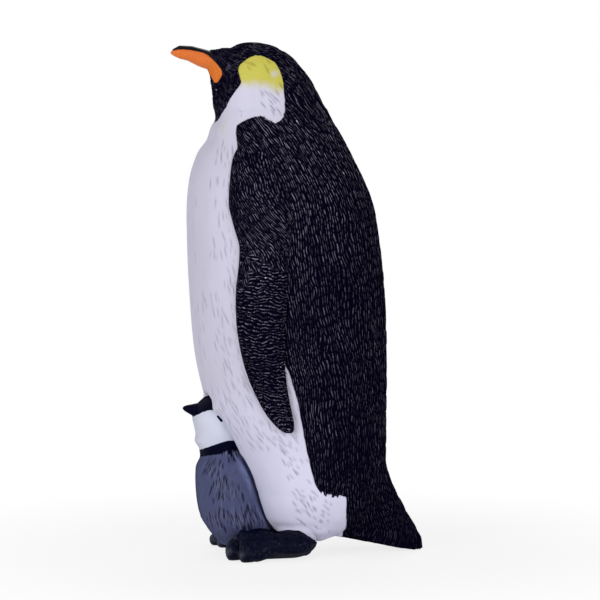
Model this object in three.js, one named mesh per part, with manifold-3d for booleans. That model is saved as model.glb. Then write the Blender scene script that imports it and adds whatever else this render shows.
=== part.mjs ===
// Emperor penguin with its chick: a hollow moulded vinyl figure, plugged together and glued.
// Millimetres, +Z up. The bird faces -Y and its left side is +X.
// The origin is on the table, under the middle of the figure.

import * as THREE from 'three';
import { mergeVertices } from 'three/addons/utils/BufferGeometryUtils.js';
import Module from 'manifold-3d';

const wasm = await Module();
wasm.setup();

// Walls and joints
const WALL = 3;
const JOINT_GAP = 0.3;
const LIP_LENGTH = 1.8;
const FLOOR_THICKNESS = 8;
const NECK_FLOOR_THICKNESS = 4;

// Body: each row is a share of its height, then front, back and half width there
const BODY_BOTTOM = 3.2;
const NECK_HEIGHT = 82;
const BODY_FULLNESS = 2.25;
const BODY_ROWS = [
  [0, -4.5, 7.2, 6.5],
  [0.013, -6.3, 9.4, 9.2],
  [0.048, -7.8, 12.8, 12.8],
  [0.112, -9.2, 15.2, 16.0],
  [0.207, -12.7, 16.0, 17.8],
  [0.25, -14.8, 16.0, 18.1],
  [0.283, -16.3, 16.0, 18.3],
  [0.34, -17.6, 16.1, 18.5],
  [0.416, -19.0, 16.1, 18.6],
  [0.543, -20.0, 15.9, 18.3],
  [0.695, -20.6, 14.8, 16.9],
  [0.797, -20.6, 13.3, 15.4],
  [0.873, -19.6, 10.6, 13.6],
  [0.943, -16.9, 7.7, 11.4],
  [0.975, -15.3, 6.2, 10.1],
  [1, -15.5, 5.0, 9.2],
];

// Tail: a wedge that carries the line of the back down to the table, cut on a slope underneath
const TAIL_HEIGHT = 21;
const TAIL_FULLNESS = 2;
const TAIL_ROWS = [
  [0, 6, 23.6, 4.6],
  [0.1, 6, 23.3, 5.4],
  [0.3, 6, 20.9, 6.9],
  [0.5, 6, 18.6, 8.2],
  [0.65, 6, 17.1, 9.2],
  [0.85, 6, 15.9, 10],
  [1, 6, 15, 10],
];
const TAIL_SLOPE_START = [7.5, 3.7];
const TAIL_SLOPE_END = [20.5, 0];

// Side view of the seam between the shells, as y and share of the body height, from the neck down
const SEAM_POINTS = [
  [-12, 1.05],
  [-12, 0.97],
  [-12.2, 0.87],
  [-12.2, 0.72],
  [-11.6, 0.57],
  [-9.5, 0.467],
  [-5, 0.397],
  [-2.6, 0.3],
  [-1.2, 0.207],
  [0.8, 0.137],
  [4.5, 0.095],
  [6.4, 0.05],
  [6.8, -0.05],
];

// Head: each row is a share of its height, then front, back and half width there
const HEAD_HEIGHT = 12.4;
const HEAD_FULLNESS = 2.1;
const HEAD_ROWS = [
  [0, -15.5, 5.0, 9.2],
  [0.19, -15.8, 3.9, 8.7],
  [0.385, -15.7, 2.6, 8.2],
  [0.54, -15.4, 1.3, 7.7],
  [0.69, -14.6, -0.2, 7.0],
  [0.81, -13.6, -1.8, 6.0],
  [0.9, -12.9, -3.6, 4.7],
  [0.965, -11.9, -5.4, 3.2],
  [1, -9.9, -7.8, 1.0],
];
const NECK_PLUG_DEPTH = 6;
const NECK_PLUG_RADIUS = 5.5;
const NECK_PLUG_FORWARD = -5.2;

// Limb stations are x, y, z, half width and half height, here from the level of the bill's root up
const BILL_LEVEL = 0.71 * HEAD_HEIGHT;
const FACE_STATIONS = [
  [0, -5, -1.2, 5.2, 4.0],
  [0, -9, -0.7, 5.0, 3.8],
  [0, -13, -0.1, 3.9, 2.9],
  [0, -15.6, -0.2, 2.9, 2.9],
  [0, -17.2, 0.1, 2.1, 2.3],
];
const BILL_STATIONS = [
  [0, -12.6, -0.2, 1.5, 1.4],
  [0, -15.4, 0, 1.8, 1.8],
  [0, -17.2, 0.5, 1.8, 1.8],
  [0, -19.3, 1.3, 1.5, 1.5],
  [0, -20.9, 1.8, 1.2, 1.4],
  [0, -22.6, 1.85, 0.9, 1.2],
  [0, -23.9, 1.75, 0.5, 0.6],
];

// Flippers: each row is a share of the length from the shoulder, then front edge, rear edge and thickness
const FLIPPER_TOP = 76.6;
const FLIPPER_TIP = 24.2;
const FLIPPER_ROWS = [
  [0, -11.9, -10.6, 0.4],
  [0.02, -13.0, -8.2, 0.9],
  [0.06, -14.0, -5.6, 1.6],
  [0.12, -14.6, -4.0, 2.3],
  [0.23, -15.0, -3.0, 2.9],
  [0.367, -13.3, -3.8, 2.8],
  [0.5, -14.0, -4.8, 2.5],
  [0.656, -13.7, -5.5, 2.2],
  [0.8, -12.0, -5.4, 1.9],
  [0.9, -9.7, -4.6, 1.6],
  [0.965, -7.6, -3.9, 1.2],
  [0.99, -6.2, -3.8, 0.8],
  [1, -5.2, -4.3, 0.5],
];
const FLIPPER_TIP_LIFT = 0.9;
const FLIPPER_LIFT_POWER = 3;
const FLIPPER_LENS = 3;
const FLIPPER_PEG_SHARES = [0.24, 0.56];
const FLIPPER_PEG_ACROSS = 0.62;
const FLIPPER_PEG_RADIUS = 1.4;

// Feet, each in its own frame, with the sole on the table
const FOOT_SPREAD = 8.8;
const FOOT_BACK = 1;
const TOE_OUT_DEGREES = 4;
const INSTEP_STATIONS = [
  [0, 1.0, 2.9, 2.0, 1.1],
  [0, -1.5, 2.85, 3.9, 2.7],
  [0, -5, 2.75, 4.6, 2.75],
  [0, -9.5, 2.9, 4.8, 3.0],
  [0, -14.3, 2.3, 4.4, 2.8],
];
const TOE_RADIUS = 2;
const TOE_ROOT_SPREAD = 2.2;
const TOE_ROOT_REACH = 7;
const TOE_ROOT_HEIGHT = 2.9;
const TOE_TIP_SPREAD = 3.2;
const TOE_TIP_HEIGHT = 1.6;
const INNER_TOE_REACH = 13.3;
const MIDDLE_TOE_REACH = 14.4;
const OUTER_TOE_REACH = 12.7;
const KNUCKLE_SWELL = 0.12;
const KNUCKLE_SHARES = [0, 0.35, 0.6, 0.8, 1];
const CLAW_LENGTH = 1.9;
const CLAW_RADIUS = 1.75;
const CLAW_TIP_RADIUS = 1.35;
const CLAW_DROOP = 0.15;
const LEG_PEG_RADIUS = 2;
const LEG_PEG_BOTTOM = 2.8;
const LEG_PEG_DEPTH = 5.8;
const LEG_PEG_FORWARD = -2;

// Chick, in its own frame over the table: rows as for the body, from the rump up and from the neck up
const CHICK_FORWARD = -13;
const CHICK_BOTTOM = 2.2;
const CHICK_NECK_HEIGHT = 20.8;
const CHICK_NECK_TILT_DEGREES = 13;
const CHICK_FULLNESS = 2.2;
const CHICK_BODY_ROWS = [
  [0, -2.2, 4.5, 3.6],
  [0.075, -3.3, 7.2, 5.6],
  [0.15, -4.4, 8.0, 7.0],
  [0.25, -5.4, 7.2, 7.0],
  [0.36, -5.9, 6.3, 6.7],
  [0.52, -6.25, 5.8, 6.7],
  [0.71, -6.3, 5.4, 6.3],
  [0.763, -6.2, 5.1, 6.0],
  [0.813, -5.8, 4.8, 5.6],
  [0.858, -5.25, 4.4, 5.2],
  [0.925, -4.95, 3.8, 4.5],
  [1, -4.6, 3.4, 4.1],
];
const CHICK_HEAD_HEIGHT = 9.2;
const CHICK_HEAD_ROWS = [
  [-0.15, -5.2, 3.3, 4.0],
  [0, -6.15, 4.0, 4.9],
  [0.1, -6.15, 4.45, 5.4],
  [0.28, -6.5, 4.8, 5.7],
  [0.486, -6.9, 4.6, 5.6],
  [0.6, -6.8, 4.4, 5.4],
  [0.795, -5.65, 3.6, 4.7],
  [0.88, -4.75, 2.9, 3.9],
  [0.943, -3.4, 2.0, 3.0],
  [1, -1.2, 0.4, 0.9],
];
const CHICK_BILL_STATIONS = [
  [0, -4, 5.8, 1.8, 1.6],
  [0, -6, 5.9, 1.4, 1.35],
  [0, -7.6, 6.1, 0.9, 0.82],
  [0, -8.8, 6.3, 0.5, 0.55],
];
const CHICK_FLIPPER_ROWS = [
  [0, 1.2, 3.8, 0.7],
  [0.4, -0.6, 3.6, 1.0],
  [0.8, -1.2, 2.6, 0.9],
  [1, -0.8, 1.4, 0.5],
];
const CHICK_FLIPPER_BOTTOM = 7.5;
const CHICK_FLIPPER_TOP = 18;
const CHICK_FLIPPER_OUT = 6;
const CHICK_PEG_RADIUS = 1.6;
const CHICK_PEG_LENGTH = 2.4;
const CHICK_PEG_HEIGHT = 12;
const CHICK_NECK_OVERRUN = 1.5;
const CHICK_NECK_PLUG_RADIUS = 2;
const CHICK_NECK_PLUG_DEPTH = 3.5;

// Facets, and how far they crowd towards a rounded end
const BODY_SIDES = 40;
const BODY_STEPS = 24;
const BODY_CROWDING = 1.2;
const CAVITY_SIDES = 20;
const CAVITY_STEPS = 10;
const HEAD_SIDES = 28;
const HEAD_STEPS = 13;
const HEAD_CROWDING = 1.5;
const CHICK_SIDES = 22;
const CHICK_STEPS = 10;
const CHICK_CROWDING = 1.4;
const ROOM_SIDES = 12;
const ROOM_STEPS = 6;
const FLIPPER_STEPS = 22;
const FLIPPER_CHORDS = 6;
const LIMB_SIDES = 12;
const LIMB_STEPS = 7;
const TOE_SIDES = 8;
const PEG_SIDES = 12;
const SEAM_STEPS = 30;
const LIMB_BLUNTNESS = 5;
const LIMB_END_STEP = 0.3;
const EDGE_RATIO = 0.999;
const CLEAR_OF_FIGURE = 60;

// Finishes
const WHITE_FEATHERS = { color: 0xd0cce0, roughness: 0.55, metalness: 0 };
const BLACK_FEATHERS = { color: 0x15131d, roughness: 0.5, metalness: 0 };
const ORANGE_BILL = { color: 0xe67a2e, roughness: 0.45, metalness: 0 };
const BLACK_FEET = { color: 0x1a1820, roughness: 0.5, metalness: 0 };
const GREY_DOWN = { color: 0x4d4f6c, roughness: 0.6, metalness: 0 };
const WHITE_DOWN = { color: 0xd2d2dc, roughness: 0.6, metalness: 0 };

const UP = new THREE.Vector3(0, 0, 1);

// A smooth curve through rows whose first number is the position along it
function smooth(rows) {
  const positions = rows.map((row) => row[0]);
  const values = rows.flatMap((row) => row.slice(1));
  const curve = new THREE.CubicInterpolant(positions, values, rows[0].length - 1);
  return (position) => Array.from(curve.evaluate(position));
}

// Front, back and half width of a form at a height
function formBetween(rows, bottom, top) {
  const curve = smooth(rows);
  return (height) => curve((height - bottom) / (top - bottom));
}

// A closed skin over rings of equal point counts, with a fan over each end and its faces turned outwards
function skin(rings) {
  const sides = rings[0].length;
  const points = rings.flat();
  const indices = [];
  for (let row = 0; row < rings.length - 1; row += 1) {
    for (let side = 0; side < sides; side += 1) {
      const next = (side + 1) % sides;
      const here = row * sides + side;
      const beside = row * sides + next;
      indices.push(here, beside, beside + sides, here, beside + sides, here + sides);
    }
  }
  const lastRow = (rings.length - 1) * sides;
  for (let side = 0; side < sides; side += 1) {
    const next = (side + 1) % sides;
    indices.push(points.length, next, side);
    indices.push(points.length + 1, lastRow + side, lastRow + next);
  }
  for (const ring of [rings[0], rings.at(-1)]) {
    const middle = new THREE.Vector3();
    ring.forEach((point) => middle.addScaledVector(point, 1 / sides));
    points.push(middle);
  }
  let volume = 0;
  for (let corner = 0; corner < indices.length; corner += 3) {
    const [a, b, c] = indices.slice(corner, corner + 3).map((index) => points[index]);
    volume += a.dot(b.clone().cross(c));
  }
  const geometry = new THREE.BufferGeometry().setFromPoints(points);
  geometry.setIndex(volume > 0 ? indices : indices.reverse());
  return geometry;
}

// A power that keeps the sign, for rounded sections
function signedPower(value, power) {
  return Math.sign(value) * Math.abs(value) ** power;
}

// A level section that reaches from front to back
function levelRing(height, [front, back, halfWidth], sides, fullness) {
  const middle = (front + back) / 2;
  const halfDepth = (back - front) / 2;
  return Array.from({ length: sides }, (_, side) => {
    const angle = (2 * Math.PI * side) / sides;
    const across = signedPower(Math.cos(angle), 2 / fullness);
    const along = signedPower(Math.sin(angle), 2 / fullness);
    return new THREE.Vector3(halfWidth * across, middle + halfDepth * along, height);
  });
}

// Heights from one end to the other, closer together at the first end where crowding is over 1
function heightsBetween(from, to, steps, crowding = 1) {
  return Array.from({ length: steps + 1 }, (_, step) => from + (to - from) * (step / steps) ** crowding);
}

// A loft of level sections, grown outwards all round by grow
function column(form, heights, sides, fullness, grow = 0) {
  const last = heights.length - 1;
  return skin(heights.map((height, step) => {
    const [front, back, halfWidth] = form(height);
    const lift = grow * Math.sign(heights[last] - heights[0]) * (2 * step / last - 1);
    return levelRing(height + lift, [front - grow, back + grow, halfWidth + grow], sides, fullness);
  }));
}

// A tapering limb with rounded ends along a curve through its stations, grown outwards by grow
function limb(stations, sides = LIMB_SIDES, grow = 0) {
  const path = new THREE.CatmullRomCurve3(stations.map(([x, y, z]) => new THREE.Vector3(x, y, z)));
  const last = stations.length - 1;
  const girth = smooth(stations.map((station, index) => [index / last, ...station.slice(3)]));
  const rings = [];
  for (let step = 0; step <= LIMB_STEPS; step += 1) {
    const progress = (step + LIMB_END_STEP) / (LIMB_STEPS + 2 * LIMB_END_STEP);
    const share = (1 - Math.cos(progress * Math.PI)) / 2;
    const centre = path.getPoint(share);
    const tangent = path.getTangent(share);
    const across = tangent.clone().cross(UP).normalize();
    const lift = across.clone().cross(tangent);
    const [halfWidth, halfHeight] = girth(share);
    const rounding = Math.sqrt(1 - Math.abs(2 * share - 1) ** LIMB_BLUNTNESS);
    rings.push(Array.from({ length: sides }, (_, side) => {
      const angle = (2 * Math.PI * side) / sides;
      return centre.clone()
        .addScaledVector(across, (halfWidth * rounding + grow) * Math.cos(angle))
        .addScaledVector(lift, (halfHeight * rounding + grow) * Math.sin(angle));
    }));
  }
  return skin(rings);
}

// A round peg between two points
function peg(from, to, radius) {
  const start = new THREE.Vector3(...from);
  const end = new THREE.Vector3(...to);
  const along = end.clone().sub(start);
  const geometry = new THREE.CylinderGeometry(radius, radius, along.length(), PEG_SIDES);
  const axis = new THREE.Vector3(0, 1, 0);
  geometry.applyQuaternion(new THREE.Quaternion().setFromUnitVectors(axis, along.normalize()));
  return geometry.translate(...start.add(end).divideScalar(2).toArray());
}

// A side-view outline of y and z points, carried across the figure along X
function sidePrism(outline) {
  const shape = new THREE.Shape(outline.map(([y, z]) => new THREE.Vector2(y, z)));
  const geometry = new THREE.ExtrudeGeometry(shape, { depth: 2 * CLEAR_OF_FIGURE, bevelEnabled: false });
  geometry.translate(0, 0, -CLEAR_OF_FIGURE);
  const sideways = new THREE.Matrix4().makeBasis(
    new THREE.Vector3(0, 1, 0),
    new THREE.Vector3(0, 0, 1),
    new THREE.Vector3(1, 0, 0),
  );
  return geometry.applyMatrix4(sideways);
}

// A copy of a geometry in another frame
function moved(geometry, frame) {
  return geometry.clone().applyMatrix4(frame);
}

// A geometry as a solid that can be joined and cut
function solid(geometry) {
  const plain = geometry.clone();
  plain.deleteAttribute('normal');
  plain.deleteAttribute('uv');
  const merged = mergeVertices(plain);
  return new wasm.Manifold(new wasm.Mesh({
    numProp: 3,
    vertProperties: new Float32Array(merged.attributes.position.array),
    triVerts: new Uint32Array(merged.index.array),
  }));
}

function joined(geometries) {
  return geometries.map((geometry) => solid(geometry)).reduce((whole, piece) => whole.add(piece));
}

// A named piece with its own finish
function piece(name, shape, finish) {
  const { vertProperties, triVerts } = shape.getMesh();
  const geometry = new THREE.BufferGeometry();
  geometry.setAttribute('position', new THREE.BufferAttribute(vertProperties, 3));
  geometry.setIndex(new THREE.BufferAttribute(triVerts, 1));
  geometry.computeVertexNormals();
  const mesh = new THREE.Mesh(geometry, new THREE.MeshStandardMaterial(finish));
  mesh.name = name;
  return mesh;
}

// Frames of the head, the chick and the two feet
const headFrame = new THREE.Matrix4().makeTranslation(0, 0, NECK_HEIGHT);
const chickFrame = new THREE.Matrix4().makeTranslation(0, CHICK_FORWARD, 0);
const chickHeadFrame = new THREE.Matrix4().makeTranslation(0, CHICK_FORWARD, CHICK_NECK_HEIGHT);
const footFrame = (side) => new THREE.Matrix4()
  .makeTranslation(side * FOOT_SPREAD, FOOT_BACK, 0)
  .multiply(new THREE.Matrix4().makeRotationZ(side * THREE.MathUtils.degToRad(TOE_OUT_DEGREES)));

// Body forms
const bodyForm = formBetween(BODY_ROWS, BODY_BOTTOM, NECK_HEIGHT);
const tailForm = formBetween(TAIL_ROWS, 0, TAIL_HEIGHT);

// The body form drawn in by inset all round
function bodyInset(inset) {
  return (height) => {
    const [front, back, halfWidth] = bodyForm(height);
    return [front + inset, back - inset, halfWidth - inset];
  };
}

function bodyOutside() {
  const heights = heightsBetween(BODY_BOTTOM, NECK_HEIGHT, BODY_STEPS, BODY_CROWDING);
  return solid(column(bodyForm, heights, BODY_SIDES, BODY_FULLNESS));
}

function bodyCore(inset, bottom, top) {
  const heights = heightsBetween(bottom, top, CAVITY_STEPS);
  return solid(column(bodyInset(inset), heights, CAVITY_SIDES, BODY_FULLNESS));
}

function tailWedge() {
  const [startY, startZ] = TAIL_SLOPE_START;
  const [endY, endZ] = TAIL_SLOPE_END;
  const underside = [
    [startY - CLEAR_OF_FIGURE, startZ],
    [startY, startZ],
    [endY, endZ],
    [endY, -CLEAR_OF_FIGURE],
    [startY - CLEAR_OF_FIGURE, -CLEAR_OF_FIGURE],
  ];
  const heights = heightsBetween(0, TAIL_HEIGHT, CAVITY_STEPS);
  const wedge = column(tailForm, heights, CAVITY_SIDES, TAIL_FULLNESS);
  return solid(wedge).subtract(solid(sidePrism(underside)));
}

// Everything in front of the seam, moved back by shift
function inFrontOfSeam(shift) {
  const rise = NECK_HEIGHT - BODY_BOTTOM;
  const seam = new THREE.SplineCurve(
    SEAM_POINTS.map(([y, share]) => new THREE.Vector2(y + shift, BODY_BOTTOM + share * rise)),
  );
  const line = seam.getPoints(SEAM_STEPS).map((point) => [point.x, point.y]);
  const above = line[0][1] + WALL;
  const below = line.at(-1)[1] - CLEAR_OF_FIGURE;
  return solid(sidePrism([
    [-CLEAR_OF_FIGURE, above],
    [line[0][0], above],
    ...line,
    [line.at(-1)[0], below],
    [-CLEAR_OF_FIGURE, below],
  ]));
}

// The flank of the body beside a point of the side view, and the way out of it
function flank(y, height) {
  const [front, back, halfWidth] = bodyForm(height);
  const halfDepth = (back - front) / 2;
  const ratio = THREE.MathUtils.clamp((y - (front + back) / 2) / halfDepth, -EDGE_RATIO, EDGE_RATIO);
  const x = halfWidth * (1 - Math.abs(ratio) ** BODY_FULLNESS) ** (1 / BODY_FULLNESS);
  const outward = new THREE.Vector3(
    (x / halfWidth) ** (BODY_FULLNESS - 1) / halfWidth,
    signedPower(ratio, BODY_FULLNESS - 1) / halfDepth,
    0,
  ).normalize();
  return { point: new THREE.Vector3(x, y, height), outward };
}

// Flippers: a blade of lens section that lies along the flank, lifting off it towards the tip
const flipperForm = smooth(FLIPPER_ROWS);
const flipperHeight = (share) => THREE.MathUtils.lerp(FLIPPER_TOP, FLIPPER_TIP, share);

function flipperBlade(side) {
  const rings = Array.from({ length: FLIPPER_STEPS + 1 }, (_, step) => {
    const share = (1 - Math.cos((Math.PI * step) / FLIPPER_STEPS)) / 2;
    const [front, rear, thickness] = flipperForm(share);
    const lift = JOINT_GAP + FLIPPER_TIP_LIFT * share ** FLIPPER_LIFT_POWER;
    const layer = (out) => Array.from({ length: FLIPPER_CHORDS + 1 }, (_, chord) => {
      const across = chord / FLIPPER_CHORDS;
      const { point, outward } = flank(THREE.MathUtils.lerp(front, rear, across), flipperHeight(share));
      const lens = Math.sqrt(1 - Math.abs(2 * across - 1) ** FLIPPER_LENS);
      return point.addScaledVector(outward, lift + out * thickness * lens);
    });
    const under = layer(0).slice(1, -1).reverse();
    return [...layer(1), ...under].map((point) => point.multiply(new THREE.Vector3(side, 1, 1)));
  });
  return skin(rings);
}

// Pegs from the middle of the blade into the wall, or their sockets where clearance is given
function flipperPegs(side, clearance) {
  return FLIPPER_PEG_SHARES.map((share) => {
    const [front, rear, thickness] = flipperForm(share);
    const y = THREE.MathUtils.lerp(front, rear, FLIPPER_PEG_ACROSS);
    const height = flipperHeight(share);
    const { x } = flank(y, height).point;
    const outer = x + JOINT_GAP + thickness / 2;
    const inner = x - WALL - clearance;
    return peg([side * outer, y, height], [side * inner, y, height], FLIPPER_PEG_RADIUS + clearance);
  });
}

function flipper(side) {
  return joined([flipperBlade(side), ...flipperPegs(side, 0)]);
}

// Feet: instep, toes with knuckles, and claws, cut flat at the table
function footLimbs(side, grow) {
  const mirrored = (stations) => stations.map(([x, ...rest]) => [side * x, ...rest]);
  const limbs = [limb(mirrored(INSTEP_STATIONS), LIMB_SIDES, grow)];
  for (const [way, reach] of [[-1, INNER_TOE_REACH], [0, MIDDLE_TOE_REACH], [1, OUTER_TOE_REACH]]) {
    const root = [way * TOE_ROOT_SPREAD, -TOE_ROOT_REACH, TOE_ROOT_HEIGHT];
    const tip = [way * TOE_TIP_SPREAD, -reach, TOE_TIP_HEIGHT];
    const toe = KNUCKLE_SHARES.map((share, joint) => {
      const radius = TOE_RADIUS + (joint % 2) * KNUCKLE_SWELL;
      return [...root.map((value, axis) => THREE.MathUtils.lerp(value, tip[axis], share)), radius, radius];
    });
    const [x, y, z] = tip;
    const claw = [
      [x, y + CLAW_RADIUS, z, CLAW_RADIUS, CLAW_RADIUS],
      [x, y - CLAW_LENGTH / 2, z - CLAW_DROOP / 2, CLAW_RADIUS, CLAW_RADIUS],
      [x, y - CLAW_LENGTH, z - CLAW_DROOP, CLAW_TIP_RADIUS, CLAW_TIP_RADIUS],
    ];
    limbs.push(limb(mirrored(toe), TOE_SIDES, grow));
    limbs.push(limb(mirrored(claw), TOE_SIDES, grow));
  }
  return limbs;
}

function legPeg(clearance) {
  const top = BODY_BOTTOM + LEG_PEG_DEPTH + clearance;
  return peg([0, LEG_PEG_FORWARD, LEG_PEG_BOTTOM], [0, LEG_PEG_FORWARD, top], LEG_PEG_RADIUS + clearance);
}

function foot(side) {
  const ground = new THREE.BoxGeometry(2 * CLEAR_OF_FIGURE, 2 * CLEAR_OF_FIGURE, CLEAR_OF_FIGURE);
  ground.translate(0, 0, -CLEAR_OF_FIGURE / 2);
  return joined([...footLimbs(side, 0), legPeg(0)]).subtract(solid(ground));
}

// The room that a foot needs in what stands on it
function footRoom(side) {
  return joined(footLimbs(side, JOINT_GAP).map((geometry) => moved(geometry, footFrame(side))));
}

// Chick
const chickBodyForm = formBetween(CHICK_BODY_ROWS, CHICK_BOTTOM, CHICK_NECK_HEIGHT);
const chickHeadForm = formBetween(CHICK_HEAD_ROWS, 0, CHICK_HEAD_HEIGHT);
const chickFlipperForm = formBetween(CHICK_FLIPPER_ROWS, CHICK_FLIPPER_BOTTOM, CHICK_FLIPPER_TOP);

// The chick's neck joint rises towards its nape: the side of it named by way, above 1 or below -1
function besideChickNeck(way, height) {
  const rise = CLEAR_OF_FIGURE * Math.tan(THREE.MathUtils.degToRad(CHICK_NECK_TILT_DEGREES));
  const edge = height + (way * JOINT_GAP) / 2;
  return solid(sidePrism([
    [-CLEAR_OF_FIGURE, edge - rise],
    [CLEAR_OF_FIGURE, edge + rise],
    [CLEAR_OF_FIGURE, edge + way * CLEAR_OF_FIGURE],
    [-CLEAR_OF_FIGURE, edge + way * CLEAR_OF_FIGURE],
  ]));
}

function chickTorso(grow, sides, steps) {
  const top = CHICK_NECK_HEIGHT + CHICK_NECK_OVERRUN;
  const heights = heightsBetween(CHICK_BOTTOM, top, steps);
  return column(chickBodyForm, heights, sides, CHICK_FULLNESS, grow);
}

function chickFlippers(grow) {
  const heights = heightsBetween(CHICK_FLIPPER_BOTTOM, CHICK_FLIPPER_TOP, LIMB_STEPS);
  return [1, -1].map((side) => {
    const blade = column(chickFlipperForm, heights, TOE_SIDES, CHICK_FULLNESS, grow);
    return blade.translate(side * CHICK_FLIPPER_OUT, 0, 0);
  });
}

function chickSkull(grow, sides, steps) {
  const heights = heightsBetween(CHICK_HEAD_HEIGHT, -CHICK_NECK_OVERRUN, steps, CHICK_CROWDING);
  return column(chickHeadForm, heights, sides, CHICK_FULLNESS, grow);
}

function chickPeg(clearance) {
  const [, back] = chickBodyForm(CHICK_PEG_HEIGHT);
  const tip = back + CHICK_PEG_LENGTH + clearance;
  return peg([0, 0, CHICK_PEG_HEIGHT], [0, tip, CHICK_PEG_HEIGHT], CHICK_PEG_RADIUS + clearance);
}

function chickNeckPlug(clearance) {
  const depth = CHICK_NECK_PLUG_DEPTH + clearance;
  return peg([0, 0, CHICK_NECK_PLUG_RADIUS], [0, 0, -depth], CHICK_NECK_PLUG_RADIUS + clearance);
}

// The room that the chick needs in the belly
function chickRoom(grow, sides, steps) {
  return joined([
    moved(chickTorso(grow, sides, steps), chickFrame),
    moved(chickSkull(grow, sides, steps), chickHeadFrame),
    ...chickFlippers(grow).map((geometry) => moved(geometry, chickFrame)),
  ]);
}

function chickBody() {
  const neckSocket = chickNeckPlug(JOINT_GAP).translate(0, 0, CHICK_NECK_HEIGHT);
  const toChick = chickFrame.clone().invert();
  const feet = [1, -1].flatMap((side) => footLimbs(side, JOINT_GAP).map((geometry) => (
    moved(geometry, toChick.clone().multiply(footFrame(side)))
  )));
  return joined([chickTorso(0, CHICK_SIDES, CHICK_STEPS), ...chickFlippers(0), chickPeg(0)])
    .subtract(besideChickNeck(1, CHICK_NECK_HEIGHT - JOINT_GAP))
    .subtract(solid(neckSocket))
    .subtract(joined(feet));
}

function chickHead() {
  const skull = solid(chickSkull(0, CHICK_SIDES, CHICK_STEPS)).subtract(besideChickNeck(-1, JOINT_GAP));
  return skull.add(joined([limb(CHICK_BILL_STATIONS, TOE_SIDES), chickNeckPlug(0)]));
}

// Head
const headForm = formBetween(HEAD_ROWS, 0, HEAD_HEIGHT);
const atBillLevel = (stations) => stations.map(([x, y, z, ...girth]) => [x, y, BILL_LEVEL + z, ...girth]);

function neckPlug(clearance) {
  const bottom = -NECK_PLUG_DEPTH - clearance;
  const radius = NECK_PLUG_RADIUS + clearance;
  return peg([0, NECK_PLUG_FORWARD, JOINT_GAP + WALL], [0, NECK_PLUG_FORWARD, bottom], radius);
}

function head() {
  const heights = heightsBetween(HEAD_HEIGHT, JOINT_GAP, HEAD_STEPS, HEAD_CROWDING);
  const skull = column(headForm, heights, HEAD_SIDES, HEAD_FULLNESS);
  return joined([skull, limb(atBillLevel(FACE_STATIONS)), neckPlug(0)])
    .subtract(solid(limb(atBillLevel(BILL_STATIONS), LIMB_SIDES, JOINT_GAP)));
}

// Shells: the body split at the seam, hollow, with a lip on the back shell that seats inside the belly shell
function shells() {
  const floor = BODY_BOTTOM + FLOOR_THICKNESS;
  const ceiling = NECK_HEIGHT - NECK_FLOOR_THICKNESS;
  const pocketWall = chickRoom(JOINT_GAP + WALL, ROOM_SIDES, ROOM_STEPS);
  const hollow = bodyCore(WALL, floor, ceiling).subtract(pocketWall);
  const neckSocket = solid(moved(neckPlug(JOINT_GAP), headFrame));
  const chickSocket = solid(moved(chickPeg(JOINT_GAP), chickFrame));
  const sockets = [neckSocket, chickSocket];
  for (const side of [1, -1]) {
    sockets.push(footRoom(side));
    sockets.push(solid(moved(legPeg(JOINT_GAP), footFrame(side))));
    sockets.push(joined(flipperPegs(side, JOINT_GAP)));
  }
  const pocket = chickRoom(JOINT_GAP, CHICK_SIDES, CHICK_STEPS);
  const room = [hollow, pocket, ...sockets].reduce((whole, part) => whole.add(part));
  const wall = bodyOutside().add(tailWedge()).subtract(room);
  const lipZone = inFrontOfSeam(JOINT_GAP).subtract(inFrontOfSeam(-LIP_LENGTH));
  const rebateZone = inFrontOfSeam(JOINT_GAP).subtract(inFrontOfSeam(-LIP_LENGTH - JOINT_GAP));
  const lip = wall.intersect(bodyCore((WALL + JOINT_GAP) / 2, floor, ceiling)).intersect(lipZone);
  const rebateCore = bodyCore((WALL - JOINT_GAP) / 2, floor - JOINT_GAP, ceiling + JOINT_GAP);
  const rebate = rebateCore.intersect(rebateZone);
  return {
    belly: wall.intersect(inFrontOfSeam(-JOINT_GAP / 2)).subtract(rebate),
    back: wall.subtract(inFrontOfSeam(JOINT_GAP / 2)).add(lip),
  };
}

// The figure
const { belly, back } = shells();

const headGroup = new THREE.Group();
headGroup.applyMatrix4(headFrame);
headGroup.add(piece('head', head(), BLACK_FEATHERS));
headGroup.add(piece('bill', solid(limb(atBillLevel(BILL_STATIONS))), ORANGE_BILL));

const chickHeadGroup = new THREE.Group();
chickHeadGroup.position.z = CHICK_NECK_HEIGHT;
chickHeadGroup.add(piece('chick_head', chickHead(), WHITE_DOWN));

const chickGroup = new THREE.Group();
chickGroup.applyMatrix4(chickFrame);
chickGroup.add(piece('chick_body', chickBody(), GREY_DOWN));
chickGroup.add(chickHeadGroup);

const adult = new THREE.Group();
adult.add(piece('belly_shell', belly, WHITE_FEATHERS));
adult.add(piece('back_shell', back, BLACK_FEATHERS));
adult.add(headGroup);
for (const [name, side] of [['left', 1], ['right', -1]]) {
  adult.add(piece(`${name}_flipper`, flipper(side), BLACK_FEATHERS));
  const footMesh = piece(`${name}_foot`, foot(side), BLACK_FEET);
  footMesh.applyMatrix4(footFrame(side));
  adult.add(footMesh);
}

const figure = new THREE.Group();
figure.name = 'penguin_and_chick';
figure.add(adult, chickGroup);

// Stand the figure with the middle of its bounding box over the origin
const bounds = new THREE.Box3().setFromObject(figure, true);
figure.position.y = -(bounds.min.y + bounds.max.y) / 2;

export default figure;
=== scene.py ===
"""Dress the penguin and chick figurine: carved plumage, down and skin under satin hand-painted colours."""

import logging
import math
from collections.abc import Iterator
from contextlib import contextmanager
from dataclasses import dataclass
from enum import Enum

import bpy
import numpy as np
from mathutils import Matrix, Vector
from mathutils.bvhtree import BVHTree


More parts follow.
